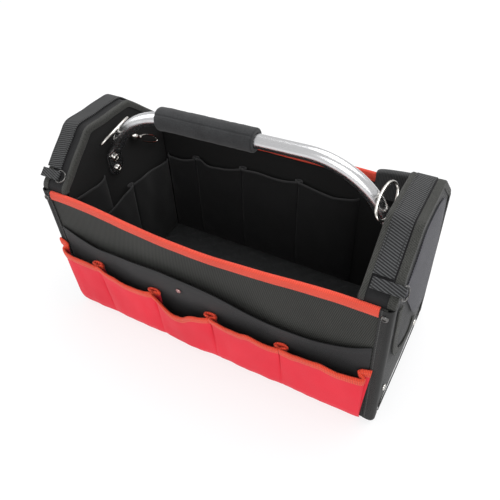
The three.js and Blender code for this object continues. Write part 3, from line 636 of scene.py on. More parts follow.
# Colour, pitch, weave, depth, roughness, sheen, contrast and speckle of each woven finish. Then, where it has
# them, the colour of its bright threads, its rows of stitches and their colour.
WOVEN = {
    "band": ((0.014, 0.0145, 0.013), 2.3, "band", 0.45, 0.75, 0.06, 0.75, 0.12, (0.062, 0.063, 0.056)),
    "red": ((0.78, 0.014, 0.036), 1.4, "plain", 0.15, 0.75, 0.05, 0.14, 0.08, (0.87, 0.024, 0.050)),
    "coral": ((0.88, 0.055, 0.026), 2.3, "twill", 0.45, 0.65, 0.08, 0.4, 0.1, (0.98, 0.105, 0.058),
              (("across", 2.2, 3.2), ("across", 26.5, 3.2)), (0.95, 0.13, 0.08)),
    "pocket tape": ((0.88, 0.050, 0.018), 2.1, "ribs", 0.45, 0.65, 0.08, 0.4, 0.1, (0.98, 0.085, 0.036),
                    (("across", 1.8, 3.0), ("across", 8.2, 3.0)), (0.95, 0.13, 0.07)),
    "slash": ((0.012, 0.0125, 0.0135), 1.1, "plain", 0.1, 0.7, 0.08, 0.2, 0.15),
    "lining": ((0.0065, 0.0065, 0.0065), 1.2, "plain", 0.1, 0.72, 0.05, 0.25, 0.15),
    "pocket lining": ((0.007, 0.007, 0.0075), 1.2, "plain", 0.1, 0.7, 0.08, 0.25, 0.15),
    "lining hem": ((0.024, 0.024, 0.025), 1.3, "ribs", 0.3, 0.7, 0.1, 0.5, 0.2),
    "board": ((0.024, 0.025, 0.026), 1.3, "plain", 0.15, 0.85, 0.1, 0.3, 0.25),
    "ridge": ((0.012, 0.012, 0.013), 1.3, "plain", 0.15, 0.8, 0.08, 0.3, 0.25),
    "ribbed": ((0.038, 0.037, 0.046), 2.4, "ribs", 0.4, 0.8, 0.1, 0.6, 0.12, (0.10, 0.10, 0.118)),
    "wrap": ((0.036, 0.037, 0.038), 2.2, "ribs", 0.35, 0.8, 0.1, 0.5, 0.12, (0.080, 0.081, 0.083)),
    "webbing": ((0.020, 0.021, 0.0215), 3.0, "slant", 0.8, 0.75, 0.1, 0.85, 0.2, (0.088, 0.090, 0.093),
                (("across", 2.4, 3.4), ("across", 21.2, 3.4)), (0.012, 0.012, 0.012)),
    "binding": ((0.019, 0.0195, 0.0175), 2.0, "twill", 0.45, 0.85, 0.1, 0.7, 0.7, (0.090, 0.091, 0.083)),
    "black binding": ((0.0035, 0.0035, 0.0037), 1.8, "twill", 0.4, 0.75, 0.1, 0.6, 0.35, (0.013, 0.013, 0.0127),
                      (("up", 2.5, 3.2), ("up", 24.0, 3.2)), (0.10, 0.10, 0.098)),
}


def foam():
    paint = Paint("foam", 0.92, Sheen_Weight=0.12, Sheen_Roughness=0.6, Specular_IOR_Level=0.2)
    cells = paint.grain(900, 3.0)
    drift = paint.grain(60, 2.0)
    tone = paint.ramp(cells * 0.7 + drift * 0.3, 0.3, 0.7)
    paint.colour(paint.mix(tone, (0.014, 0.0145, 0.0155), (0.034, 0.035, 0.037)))
    paint.bump(cells, 0.3)
    return paint.material


def plated():
    paint = Paint("plated steel", 0.12, Metallic=1.0)
    marks = paint.grain(160, 4.0)
    paint.colour(paint.mix(paint.ramp(marks, 0.35, 0.7), (0.74, 0.72, 0.68), (0.52, 0.50, 0.47)))
    paint.rough(paint.ramp(marks, 0.4, 0.75) * 0.16 + 0.12)
    return paint.material


def coppery():
    paint = Paint("coppery steel", 0.3, Metallic=1.0)
    marks = paint.grain(300, 3.0)
    paint.colour(paint.mix(paint.ramp(marks, 0.35, 0.7), (0.50, 0.30, 0.29), (0.30, 0.16, 0.16)))
    paint.rough(marks * 0.3 + 0.15)
    return paint.material


def dark_plated():
    paint = Paint("dark plated steel", 0.2, Metallic=1.0)
    marks = paint.grain(220, 3.0)
    paint.colour(paint.mix(paint.ramp(marks, 0.35, 0.7), (0.16, 0.155, 0.15), (0.07, 0.07, 0.07)))
    paint.rough(paint.ramp(marks, 0.4, 0.75) * 0.2 + 0.18)
    return paint.material


def tube_steel():
    paint = Paint("tube steel", 0.25, Metallic=1.0)
    drawn = paint.grain(260, 3.0, (0.05, 1, 1))
    paint.colour(paint.mix(drawn, (0.74, 0.74, 0.75), (0.56, 0.56, 0.57)))
    paint.rough(drawn * 0.16 + 0.18)
    return paint.material


FINISHES = {"foam": foam, "plated": plated, "tube": tube_steel, "dark plated": dark_plated, "coppery": coppery}


def finish(name):
    """The material of that finish, made the first time it is asked for."""
    key = "tote " + name
    if key not in bpy.data.materials:
        made = woven(*WOVEN[name]) if name in WOVEN else FINISHES[name]()
        made.name = key
    return bpy.data.materials[key]


class ToteSizes(bpy.types.PropertyGroup):
    pocket_cloth: bpy.props.FloatProperty(
        name="Pocket cloth", description="Thickness of the pockets' cloth", default=0.0011, unit="LENGTH")
    unevenness: bpy.props.FloatProperty(
        name="Unevenness", description="How far soft cloth strays from a smooth face", default=0.0012,
        unit="LENGTH")


class ToteStage(bpy.types.PropertyGroup):
    floor: bpy.props.FloatVectorProperty(
        name="Floor", description="Colour of the floor", default=(0.24, 0.24, 0.245), subtype="COLOR", size=3)
    glow: bpy.props.FloatProperty(
        name="Floor glow", description="Light the floor gives by itself", default=0.74)
    sky: bpy.props.FloatProperty(
        name="Sky", description="Strength of the even light from all round", default=0.75)
    key: bpy.props.FloatProperty(
        name="Key light", description="Power of the large light overhead", default=34.0,
        subtype="POWER", unit="POWER")


def uneven():
    return bpy.context.scene.tote_sizes.unevenness / MM


def pocket_cloth():
    return bpy.context.scene.tote_sizes.pocket_cloth / MM


class TOTE_OT_walls(bpy.types.Operator):
    """Padded front and back walls"""

    bl_idname = "tote.walls"
    bl_label = "Long walls"

    def execute(self, context):
        for name, face in FACES:
            def place(u, v, face=face):
                x = face * blend(-WALL_END, WALL_END, u)
                low = corner_rise(HALF_LENGTH - abs(x))
                z = blend(low, rim_top(x) - TAPE - SEAM, v)
                soft = uneven() * 0.5 * crease(x, z, 60, 3 + face) * ease(v * 5)
                return x, face * (wall_face(x, z) - WALL / 2 + soft - 0.2), z
            piece = lay(f"{name}_wall_cloth", 120, 36, place, WALL, "black_cloth", "band", f"{name}_wall")
            piece.data.materials.append(finish("lining"))
            for polygon in piece.data.polygons:
                polygon.material_index = int(polygon.normal.y * face < -0.3)
        return {"FINISHED"}


class TOTE_OT_rim_tapes(bpy.types.Operator):
    """Red tape folded over the long rims"""

    bl_idname = "tote.rim_tapes"
    bl_label = "Rim tapes"

    def execute(self, context):
        edge = WALL_END - CORNER_LEG - SEAM
        for name, face in FACES:
            def place(u, v, face=face):
                x = blend(-edge, edge, u)
                top = rim_top(x) + 0.5 * crease(x, 0, 45, 9)
                round_at = top - 3.3
                low = top - TAPE_WIDTH + 0.4 * crease(x, 0, 30, 5)
                half = WALL / 2 + SEAM + TAPE / 2 + 0.35
                middle = wall_face(x, top) - WALL / 2
                if v < 0.4:
                    z = blend(low, round_at, v / 0.4)
                    y = wall_face(x, z) - WALL / 2 + half + 0.9 * math.sin(math.pi * v / 0.4) - 0.3
                elif v > 0.6:
                    z = blend(round_at, low, (v - 0.6) / 0.4)
                    y = wall_face(x, z) - WALL / 2 - half - 0.6 * math.sin(math.pi * (v - 0.6) / 0.4)
                else:
                    angle = math.pi * (v - 0.4) / 0.2
                    z = round_at + 2.7 * math.sin(angle)
                    y = middle + half * math.cos(angle)
                return x, face * y, z
            lay(f"rim_tape_{name}_cloth", 200, 30, place, TAPE, "red_tape", "coral", f"rim_tape_{name}")
        return {"FINISHED"}


class TOTE_OT_floor(bpy.types.Operator):
    """Base and the charcoal floor board"""

    bl_idname = "tote.floor"
    bl_label = "Base and floor board"

    def plate(self, name, node, paint, slot, crown):
        """Board with rounded corners that fills the box of its solid."""
        low, high = (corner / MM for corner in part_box(node))
        half = (high - low) / 2
        thick = high.z - low.z

        def place(u, v):
            x = half.x * (2 * u - 1)
            past = max(0, BOARD_CORNER - half.x + abs(x))
            reach = half.y - (BOARD_CORNER - math.sqrt(max(0, BOARD_CORNER**2 - past**2)))
            y = reach * (2 * v - 1)
            edge = min(half.x - abs(x), reach - abs(y))
            soft = crown * (ease(edge / 25) + 0.5 * crease(x, y, 70, 4) * ease(edge / 30))
            return x, y, (low.z + high.z) / 2 + soft

        piece = thicken(sheet(name, 128, 64, place), thick)
        finish_with(piece, "BEVEL", width=thick * 0.3 * MM, segments=3, limit_method="ANGLE")
        smooth(piece)
        settle(piece, slot, paint, node)
        return piece

    def execute(self, context):
        self.plate("base_cloth", "base_panel", "slash", "black_cloth", 0)
        board = self.plate("floor_pad", "floor_board", "board", "board_cloth", 1.1)
        stuff(board, 3.0)
        return {"FINISHED"}


class TOTE_OT_ends(bpy.types.Operator):
    """Inner and outer skins of the stiff ends"""

    bl_idname = "tote.ends"
    bl_label = "Stiff ends"

    def execute(self, context):
        for name, side in SIDES:
            reach = half_depth(0) - SEAM - CORNER_TURN

            def outer(u, v, side=side):
                y = blend(-reach, reach, u)
                foot = corner_rise(half_depth(0) - abs(y))
                z = blend(foot, under_ridge(y), v)
                soft = uneven() * crease(y, z, 48, 20 + side) * ease(v * 6) * ease((1 - v) * 6)
                return side * (end_face(y, z) - WALL / 2 + soft - 0.3), y, z

            piece = lay(f"outer_end_{name}_cloth", 64, 56, outer, WALL,
                        "black_cloth", "slash", f"outer_end_panel_{name}")
            inside = half_depth(0) - WALL - 2 * SEAM

            def inner(u, v, side=side):
                y = blend(-inside, inside, u)
                foot = max(FLOOR + SEAM, corner_rise(half_depth(0) - abs(y)))
                z = blend(foot, under_ridge(y), v)
                soft = 0.7 * uneven() * crease(y, z, 55, 31) * ease((z - 215) / 20) * ease((1 - v) * 8)
                return side * (INNER_HALF + WALL / 2 - max(0, soft)), y, z

            piece = lay(f"inner_end_{name}_cloth", 56, 40, inner, WALL,
                        "lining_cloth", "lining", f"inner_end_panel_{name}")
        return {"FINISHED"}


def ridge_band(name, side, line, start, stop, thickness, columns, rows):
    """A strip swept along the ridge. Line holds (distance from the middle, height over the ridge)."""
    runs = [0]
    for (a, b), (c, d) in zip(line, line[1:]):
        runs.append(runs[-1] + math.hypot(c - a, d - b))

    def place(u, v):
        at = v * runs[-1]
        i = next(k for k in range(1, len(runs)) if runs[k] >= at - 1e-9)
        share = (at - runs[i - 1]) / (runs[i] - runs[i - 1])
        x = blend(line[i - 1][0], line[i][0], share)
        rise = blend(line[i - 1][1], line[i][1], share)
        run = blend(start, stop, u)
        rise += 0.55 * uneven() * noise.noise(Vector((run / 26, 0, 60 + side)))
        return over_ridge(side, x, rise, run)

    return thicken(sheet(name, columns, rows, place), thickness)


class TOTE_OT_ridges(bpy.types.Operator):
    """Strips, bindings and webbing over the ridges of the ends"""

    bl_idname = "tote.ridges"
    bl_label = "Ridges"

    def execute(self, context):
        foot = run_at_height(RIM_HEIGHT + SEAM)
        tab = run_at_height(RIDGE_HEIGHT - SLOPE * 56)
        for name, side in SIDES:
            strip = [(INNER_HALF + 0.2, -WALL / 2), (INNER_HALF + 20, -WALL / 2 + 0.1),
                     (SKIN_HALF - 0.2, -WALL / 2)]
            piece = ridge_band(f"ridge_{name}_cloth", side, strip, 0, RIDGE_RUN, WALL, 150, 14)
            settle(piece, "ridge_cloth", "ridge", f"ridge_strip_{name}")

            inner = INNER_HALF - 0.9
            piping = [(inner + 0.4, -7), (inner, -5), (inner - 0.2, -1), (inner + 0.3, 0.6),
                      (inner + 1.6, 1.3), (inner + 3.5, 1.2), (INNER_HALF + 5, 0.9)]
            piece = ridge_band(f"piping_{name}_cloth", side, piping, foot, RIDGE_RUN - foot, 1.5, 200, 18)
            settle(piece, "binding", "binding", f"inner_piping_{name}")

            outer = SKIN_HALF + SEAM + TAPE / 2
            binding = [(outer - 0.2, -BINDING_DROP), (outer, -5), (outer, -0.8), (outer - 0.5, 0.6),
                       (outer - 1.6, 1.0), (outer - 5, 0.95), (HALF_LENGTH - 9.6, 0.85)]
            piece = ridge_band(f"binding_{name}_cloth", side, binding, foot, RIDGE_RUN - foot, 1.1, 200, 22)
            settle(piece, "binding", "binding", f"outer_binding_{name}")

            inset = 0 if side < 0 else 0.29 * END_THICKNESS
            low = 2 * SEAM + TAPE if side < 0 else SEAM
            far = HALF_LENGTH - inset
            strap = [(far - 23.5, low + 1), (far, low + 1)]
            start = tab + 10
            piece = ridge_band(f"strap_{name}_webbing", side, strap, start, RIDGE_RUN - start, 1.9, 180, 12)
            settle(piece, "webbing", "webbing", f"webbing_strap_{name}")

            self.loop(name, side, tab)
        return {"FINISHED"}

    def loop(self, name, side, tab):
        """The webbing loop at the strap's front end, with its wire ring."""
        tail, eye = ((-0.12, 0.59) if side < 0 else (0.81, -0.062))
        tail_at, eye_at = HALF_LENGTH - tail * END_THICKNESS, HALF_LENGTH - eye * END_THICKNESS
        turn = 1 if tail > eye else -1
        rise = 2 * SEAM + TAPE + 2
        line = [(tail_at, rise + 0.8)]
        for k in range(25):
            angle = math.pi * (0.75 - 1.5 * k / 24)
            line.append((eye_at + turn * 2.2 * math.cos(angle), rise + 2.2 * math.sin(angle)))
        line.append((tail_at, rise - 0.8))
        piece = ridge_band(f"loop_{name}_webbing", side, line, tab - 6.5, tab + 6.5, 1.1, 10, 60)
        settle(piece, "webbing", "webbing", f"ring_tab_{name}")

        lean = 0 if side < 0 else -1.25
        at = over_ridge(side, eye_at, rise, tab)
        along = (over_ridge(side, eye_at, rise, tab + 2) - over_ridge(side, eye_at, rise, tab - 2)).normalized()
        up = (over_ridge(side, eye_at, rise + 1, tab) - at).normalized()
        out = Vector((turn * side * math.cos(lean), 0, 0)) + up * math.sin(lean)
        points = []
        for k in range(25):
            angle = math.pi * k / 24
            points.append(at + along * 8.4 * math.cos(angle) + out * (3 + 9.9 * math.sin(angle)))
        points += [at - along * 8.1 + out * 1.2, at - along * 7.3, at, at + along * 7.3,
                   at + along * 8.1 + out * 1.2]
        ring = wire(f"loop_ring_{name}", points, 1.1, 10)
        settle(ring, "chrome", "dark plated", f"strap_ring_{name}")


class TOTE_OT_corners(bpy.types.Operator):
    """Black bindings round the four upright corners"""

    bl_idname = "tote.corners"
    bl_label = "Corner bindings"

    def execute(self, context):
        for name, side in SIDES:
            for where, face in FACES:
                def place(u, v, side=side, face=face):
                    z = blend(corner_rise(CORNER_TURN), RIM_HEIGHT, v)
                    y = half_depth(z) + SEAM + TAPE / 2
                    x = SKIN_HALF + SEAM + TAPE / 2
                    turn = CORNER_TURN - TAPE / 2
                    leg = CORNER_LEG
                    run = u * (2 * leg + turn * math.pi / 2)
                    swell = 0.35 * math.sin(math.pi * u) + 0.25 * crease(z, 0, 25, 40 + side)
                    if run < leg:
                        px, py = x - turn - leg + run, y + swell
                    elif run > leg + turn * math.pi / 2:
                        px, py = x + swell, y - turn - (run - leg - turn * math.pi / 2)
                    else:
                        angle = math.pi / 2 - (run - leg) / turn
                        px = x - turn + (turn + swell) * math.cos(angle)
                        py = y - turn + (turn + swell) * math.sin(angle)
                    return side * px, face * py, z
                lay(f"corner_{name}_{where}_cloth", 24, 70, place, TAPE,
                    "black_binding", "black binding", f"corner_binding_{name}_{where}")
        return {"FINISHED"}


class TOTE_OT_slash_pocket(bpy.types.Operator):
    """Flat black pocket with its curved edge"""

    bl_idname = "tote.slash_pocket"
    bl_label = "Flat pocket"

    def execute(self, context):
        def place(u, v):
            x = blend(-SLASH_EDGE, SLASH_EDGE, u)
            low = corner_rise(HALF_LENGTH - abs(x)) + 4
            top = curve_at(SLASH_RIM, x)
            z = blend(low, top, v)
            hem = 0.35 if top - z < 8 else 0
            soft = uneven() * 0.8 * crease(x, z * 0.5, 40, 12) * ease((z - 90) / 40)
            soft *= ease((SLASH_EDGE - abs(x)) / 20)
            return x, -(slash_face(x, min(z, SLASH_TOP + 6)) - CLOTH / 2 + hem + soft), z

        piece = lay("slash_pocket_cloth", 140, 48, place, pocket_cloth(),
                    "black_cloth", "slash", "slash_pocket")
        cut_sheet(piece)
        return {"FINISHED"}


# Folds of cloth seen from above: shift along the row and depth towards the wall.
PLEAT = (
    (-1.4, 0.2), (-1.1, 1.8), (-3.0, 3.2), (-6.0, 3.6), (-8.2, 5.0), (-8.4, 7.2), (-6.4, 9.2), (-2.6, 10.4),
    (1.6, 10.6), (5.2, 9.8), (7.4, 8.0), (7.2, 5.8), (5.0, 4.4), (2.4, 3.6), (1.1, 1.9), (1.5, 0.2),
)
GUSSET = (
    (0, 0.1), (0.8, 1.2), (-1.5, 3.0), (-5.5, 5.0), (-7.6, 6.8), (-5.6, 8.6), (0, 10.0), (5, 11.0), (7.5, 11.4),
)


def pleated_columns(start, stop, seams, step, pleat=PLEAT, finer=2):
    """Columns along a row of pockets: place, and the pleat's own shift and depth at the rim."""
    columns = []
    edges = [start, *seams, stop]
    for i, (a, b) in enumerate(zip(edges, edges[1:])):
        near_a = 1.4 if i else 0
        near_b = 1.3 if i < len(seams) else 0
        count = max(6, round((b - a) / step))
        for k in range(count + 1):
            share = k / count
            share = share - 0.35 * math.sin(2 * math.pi * share) / (2 * math.pi)
            columns.append((blend(a + near_a, b - near_b, share), 0, 0, i))
        if i < len(seams):
            skew = (-0.25, 0.1, -0.1, 0.2)[i % 4]
            for k in range((len(pleat) - 1) * finer + 1):
                j, rest = divmod(k, finer)
                low, high = pleat[j], pleat[min(j + 1, len(pleat) - 1)]
                shift, deep = blend(low[0], high[0], rest / finer), blend(low[1], high[1], rest / finer)
                columns.append((b, shift + skew * deep, deep, i))
    return columns


def with_gussets(columns, start, stop, last_pocket):
    """Adds the folded side strips at both ends of a row."""
    folds = []
    for (a, b), (c, d) in zip(GUSSET, GUSSET[1:]):
        folds += [(a, b), ((a + c) / 2, (b + d) / 2)]
    folds.append(GUSSET[-1])
    left = [(start, -shift, deep, 0) for shift, deep in reversed(folds)]
    right = [(stop, shift, deep, last_pocket) for shift, deep in folds]
    return left + columns + right


def pocket_share(column, start, stop, seams):
    """How far across its pocket a column stands, from 0 to 1."""
    edges = [start, *seams, stop]
    low, high = edges[column[3]], edges[column[3] + 1]
    return min(1, max(0, (column[0] - low) / (high - low)))


class TOTE_OT_tool_pockets(bpy.types.Operator):
    """Row of red pockets with pleats and a bound top"""

    bl_idname = "tote.tool_pockets"
    bl_label = "Red pockets"

    START, STOP = -243, 235
    GAPES = (0.9, 1.05, 1.25, 1.1, 1.0)

    def face(self, column, v, z):
        """Place of the pocket's cloth at a column, a share of its height and a height."""
        x, shift, deep, i = column
        share = pocket_share(column, self.START, self.STOP, TOOL_SEAMS)
        middle = 4 * share * (1 - share)
        full = math.sqrt(min(1, v / 0.2)) * (0.55 + 0.45 * v)
        stand = POCKET_GAPE * self.GAPES[i] * full * blend(0.64, 1, middle**0.6)
        stand += uneven() * 1.7 * full * crease(x, z * 0.45, 24, 50 + i)
        stand += uneven() * (1 + crease(x, 0, 16, 57)) * ease(v * 12) * (1 - v)
        stand += 1.6 * full * math.sin(x / 7.5 + i) * ease(v - 0.3) * (1 - middle) ** 2
        width = v**1.3
        depth = min(deep, max(0, stand - 0.8) * deep / 11.6) * (0.35 + 0.65 * v)
        px = x + shift * width
        tight = 0.55 * (1 - ease(v * 8))
        return Vector((px, -(slash_face(x, z) + SEAM + CLOTH / 2 - tight + max(0, stand - depth)), z))

    def execute(self, context):
        columns = pleated_columns(self.START, self.STOP, TOOL_SEAMS, 4.2)
        columns = with_gussets(columns, self.START, self.STOP, 4)
        last = len(columns) - 1

        def rim(column):
            top = curve_at(TOOL_RIM, column[0]) + 1.3 * crease(column[0], 0, 11, 70)
            return top + (1.2 * column[2] if column[0] in (self.START, self.STOP) else 0)

        def cloth(u, v):
            column = columns[round(u * last)]
            low = corner_rise(HALF_LENGTH - abs(column[0])) + 2
            z = blend(low, rim(column) - 0.8, v)
            return self.face(column, v, z)

        row = lay("tool_pockets_cloth", last, 40, cloth, pocket_cloth(),
                  "red_cloth", "red", "tool_pocket_row", even=False)

        line = ((1.1, -11), (1.5, -10), (1.7, -6), (1.7, -1.5), (1.2, 0.2), (0, 0.9), (-1.2, 0.2),
                (-1.6, -1.5), (-1.5, -4), (-1.2, -7))

        def tape(u, v):
            j = round(u * last)
            out, down = line[round(v * (len(line) - 1))]
            column = columns[j]
            top = rim(column)
            low = corner_rise(HALF_LENGTH - abs(column[0])) + 2
            share = (top + down - low) / (top - low)
            here = self.face(column, min(1, share), top + down)
            before = self.face(columns[max(j - 1, 0)], min(1, share), top + down)
            after = self.face(columns[min(j + 1, last)], min(1, share), top + down)
            along = (after - before).normalized()
            return here + Vector((along.y, -along.x, 0)) * out

        piece = lay("tool_pockets_tape", last, len(line) - 1, tape, 1.0,
                    "red_tape", "pocket tape", "tool_pocket_tape", even=False)
        cut_sheet(row)
        return {"FINISHED"}


class TOTE_OT_inside_pockets(bpy.types.Operator):
    """Pockets inside, on the back wall and on both ends"""

    bl_idname = "tote.inside_pockets"
    bl_label = "Inside pockets"

    def row(self, name, table, seams, gape, face, held_on, node):
        """One row: face turns a place, a height and a stand-off into a point."""
        start, stop = table[0][0], table[-1][0]
        small = tuple((a * 0.7, b * 0.7) for a, b in PLEAT)
        columns = pleated_columns(start, stop, seams, 5, small, 1)
        last = len(columns) - 1

        def place(u, v):
            column = columns[round(u * last)]
            share = pocket_share(column, start, stop, seams)
            middle = 4 * share * (1 - share)
            outer = (column[3] == 0 and share < 0.5) or (column[3] == len(seams) and share > 0.5)
            top = curve_at(table, column[0])
            z = blend(POCKET_FOOT, top, v)
            full = math.sqrt(min(1, v / 0.2)) * (0.6 + 0.4 * v)
            stand = gape * full * blend(0.05 if outer else 0.7, 1, middle**0.5)
            wrinkle = crease(column[0] + z * 0.3, z * 0.6, 27, 80 + len(seams))
            stand += 2.2 * uneven() * full * wrinkle * (0.2 + 0.8 * middle)
            depth = min(column[2], max(0, stand - 0.6) * column[2] / 8.2)
            hem = 0.4 if top - z < 7 else 0
            return face(column[0] + column[1] * v**1.3, z, max(0, stand - depth) + hem)

        line = ((0.8, -2.4), (0.9, -1), (0.5, 0.3), (0, 0.5), (-0.5, 0.3), (-0.9, -1), (-0.8, -2.4))

        def hem(u, v):
            j = round(u * last)
            out, down = line[round(v * (len(line) - 1))]
            top = curve_at(table, columns[j][0])
            share = (top + down - POCKET_FOOT) / (top - POCKET_FOOT)
            here = Vector(place(u, min(1, share)))
            before = Vector(place(max(j - 1, 0) / last, 1))
            after = Vector(place(min(j + 1, last) / last, 1))
            along = (after - before).normalized()
            off = Vector((along.y, -along.x, 0)) * out
            return here.x + off.x, here.y + off.y, top + down

        edge = lay(f"{name}_hem", last, len(line) - 1, hem, 0.5, "lining_cloth", "lining hem", even=False)

        piece = lay(name, last, 34, place, pocket_cloth(), "lining_cloth", "pocket lining", node, even=False)
        cut_sheet(piece)

    def execute(self, context):
        def back(x, z, stand):
            return x, wall_face(x, z) - WALL - SEAM - CLOTH / 2 - stand, z

        self.row("back_pockets_cloth", BACK_RIM, BACK_SEAMS, 11.5, back, "back_wall", "back_pocket_row")
        for name, side in SIDES:
            def low(y, z, stand, side=side):
                return side * (INNER_HALF - 2.6 - CLOTH / 2 - stand), y, z

            def tall(y, z, stand, side=side):
                return side * (INNER_HALF - SEAM - CLOTH / 2 - stand), y, z

            self.row(f"end_pockets_{name}_cloth", END_RIM, END_SEAMS, 10.5, low, f"inner_end_panel_{name}",
                     f"end_pocket_row_{name}")
            self.row(f"tall_pocket_{name}_cloth", TALL_RIM, (), 7.0, tall, f"inner_end_panel_{name}",
                     f"end_tall_pocket_{name}")
        return {"FINISHED"}


# Outlines on the outer ends, in shares of half the base's depth and of the ridge's height
PATCH = (
    (-0.66, 0.72, 0.79), (-0.5, 0.62, 0.85), (-0.3, 0.5, 0.915), (-0.05, 0.425, 0.93), (0.2, 0.365, 0.925),
    (0.4, 0.325, 0.905), (0.57, 0.3, 0.865), (0.72, 0.29, 0.78), (0.81, 0.36, 0.68),
)
HOLDER = ((-0.77, 0.7), (-0.75, 0.5), (-0.67, 0.39), (-0.5, 0.345), (-0.3, 0.37), (-0.22, 0.44))


class TOTE_OT_end_trim(bpy.types.Operator):
    """Ribbed patch, holder and lower binding on the outer ends, and the wraps on the back rim"""

    bl_idname = "tote.end_trim"
    bl_label = "Trim of the ends"

    def execute(self, context):
        half = BASE_DEPTH / 2
        for name, side in SIDES:
            def patch(u, v, side=side):
                across = blend(PATCH[0][0], PATCH[-1][0], u)
                low = curve_at([(at, under) for at, under, _ in PATCH], across)
                high = curve_at([(at, over) for at, _, over in PATCH], across)
                y, z = across * half, blend(low, high, v) * RIDGE_HEIGHT
                edge = min(u, 1 - u, v, 1 - v)
                return side * (end_face(y, z) + 1.2 + 0.6 * ease(edge * 12)), y, z

            piece = lay(f"end_patch_{name}_cloth", 60, 50, patch, 1.2,
                        "ribbed_cloth", "ribbed", f"end_patch_{name}")
            cut_sheet(piece)

            path = [Vector((y * half, z * RIDGE_HEIGHT)) for y, z in HOLDER]
            ys = [(k / 5, point.x) for k, point in enumerate(path)]
            zs = [(k / 5, point.y) for k, point in enumerate(path)]

            def band(u, v, side=side):
                y, z = curve_at(ys, u), curve_at(zs, u)
                near, far = max(0, u - 0.01), min(1, u + 0.01)
                ahead = Vector((curve_at(ys, far) - curve_at(ys, near), curve_at(zs, far) - curve_at(zs, near)))
                ahead.normalize()
                off = (v - 0.5) * 10.5
                y, z = y - ahead.y * off, z + ahead.x * off
                return side * (end_face(y, z) + 1.6 + 0.5 * math.sin(math.pi * v)), y, z

            lay(f"end_holder_{name}_webbing", 60, 8, band, 1.6, "binding", "binding", f"end_holder_{name}")

            reach = half_depth(0) - WALL - SEAM - CORNER_TURN - 8

            def low_edge(u, v, side=side):
                y, z = blend(-reach, reach, u), blend(1, 11, v)
                return side * (end_face(y, z) + 1.2 + 0.3 * math.sin(math.pi * v)), y, z

            lay(f"base_binding_{name}_cloth", 60, 8, low_edge, 1.1,
                "black_binding", "black binding", f"base_binding_{name}")

            def wrap(u, v, side=side):
                x = blend(INNER_HALF - WRAP_FROM, INNER_HALF - WRAP_TO, u)
                top = rim_top(x) + 3.6 + WRAP_RISE * math.sqrt(u)
                low = RIM_HEIGHT - WRAP_DROP
                inner_low = low if side > 0 else RIM_HEIGHT - WRAP_SHORT_DROP
                middle = wall_face(x, RIM_HEIGHT) - WALL / 2
                half_gap = WALL / 2 + 3.0
                if v < 0.42:
                    z = blend(low, top - 3, v / 0.42)
                    y = wall_face(x, min(z, RIM_HEIGHT)) - WALL / 2 + half_gap
                elif v > 0.58:
                    z = blend(top - 3, inner_low, (v - 0.58) / 0.42)
                    y = wall_face(x, min(z, RIM_HEIGHT)) - WALL / 2 - half_gap
                else:
                    angle = math.pi * (v - 0.42) / 0.16
                    y, z = middle + half_gap * math.cos(angle), top - 3 + 2.4 * math.sin(angle)
                return side * x, y, z

            piece = lay(f"corner_wrap_{name}_cloth", 24, 44, wrap, 1.1,
                        "ribbed_cloth", "wrap", f"corner_wrap_{name}")
            cut_sheet(piece)
        return {"FINISHED"}


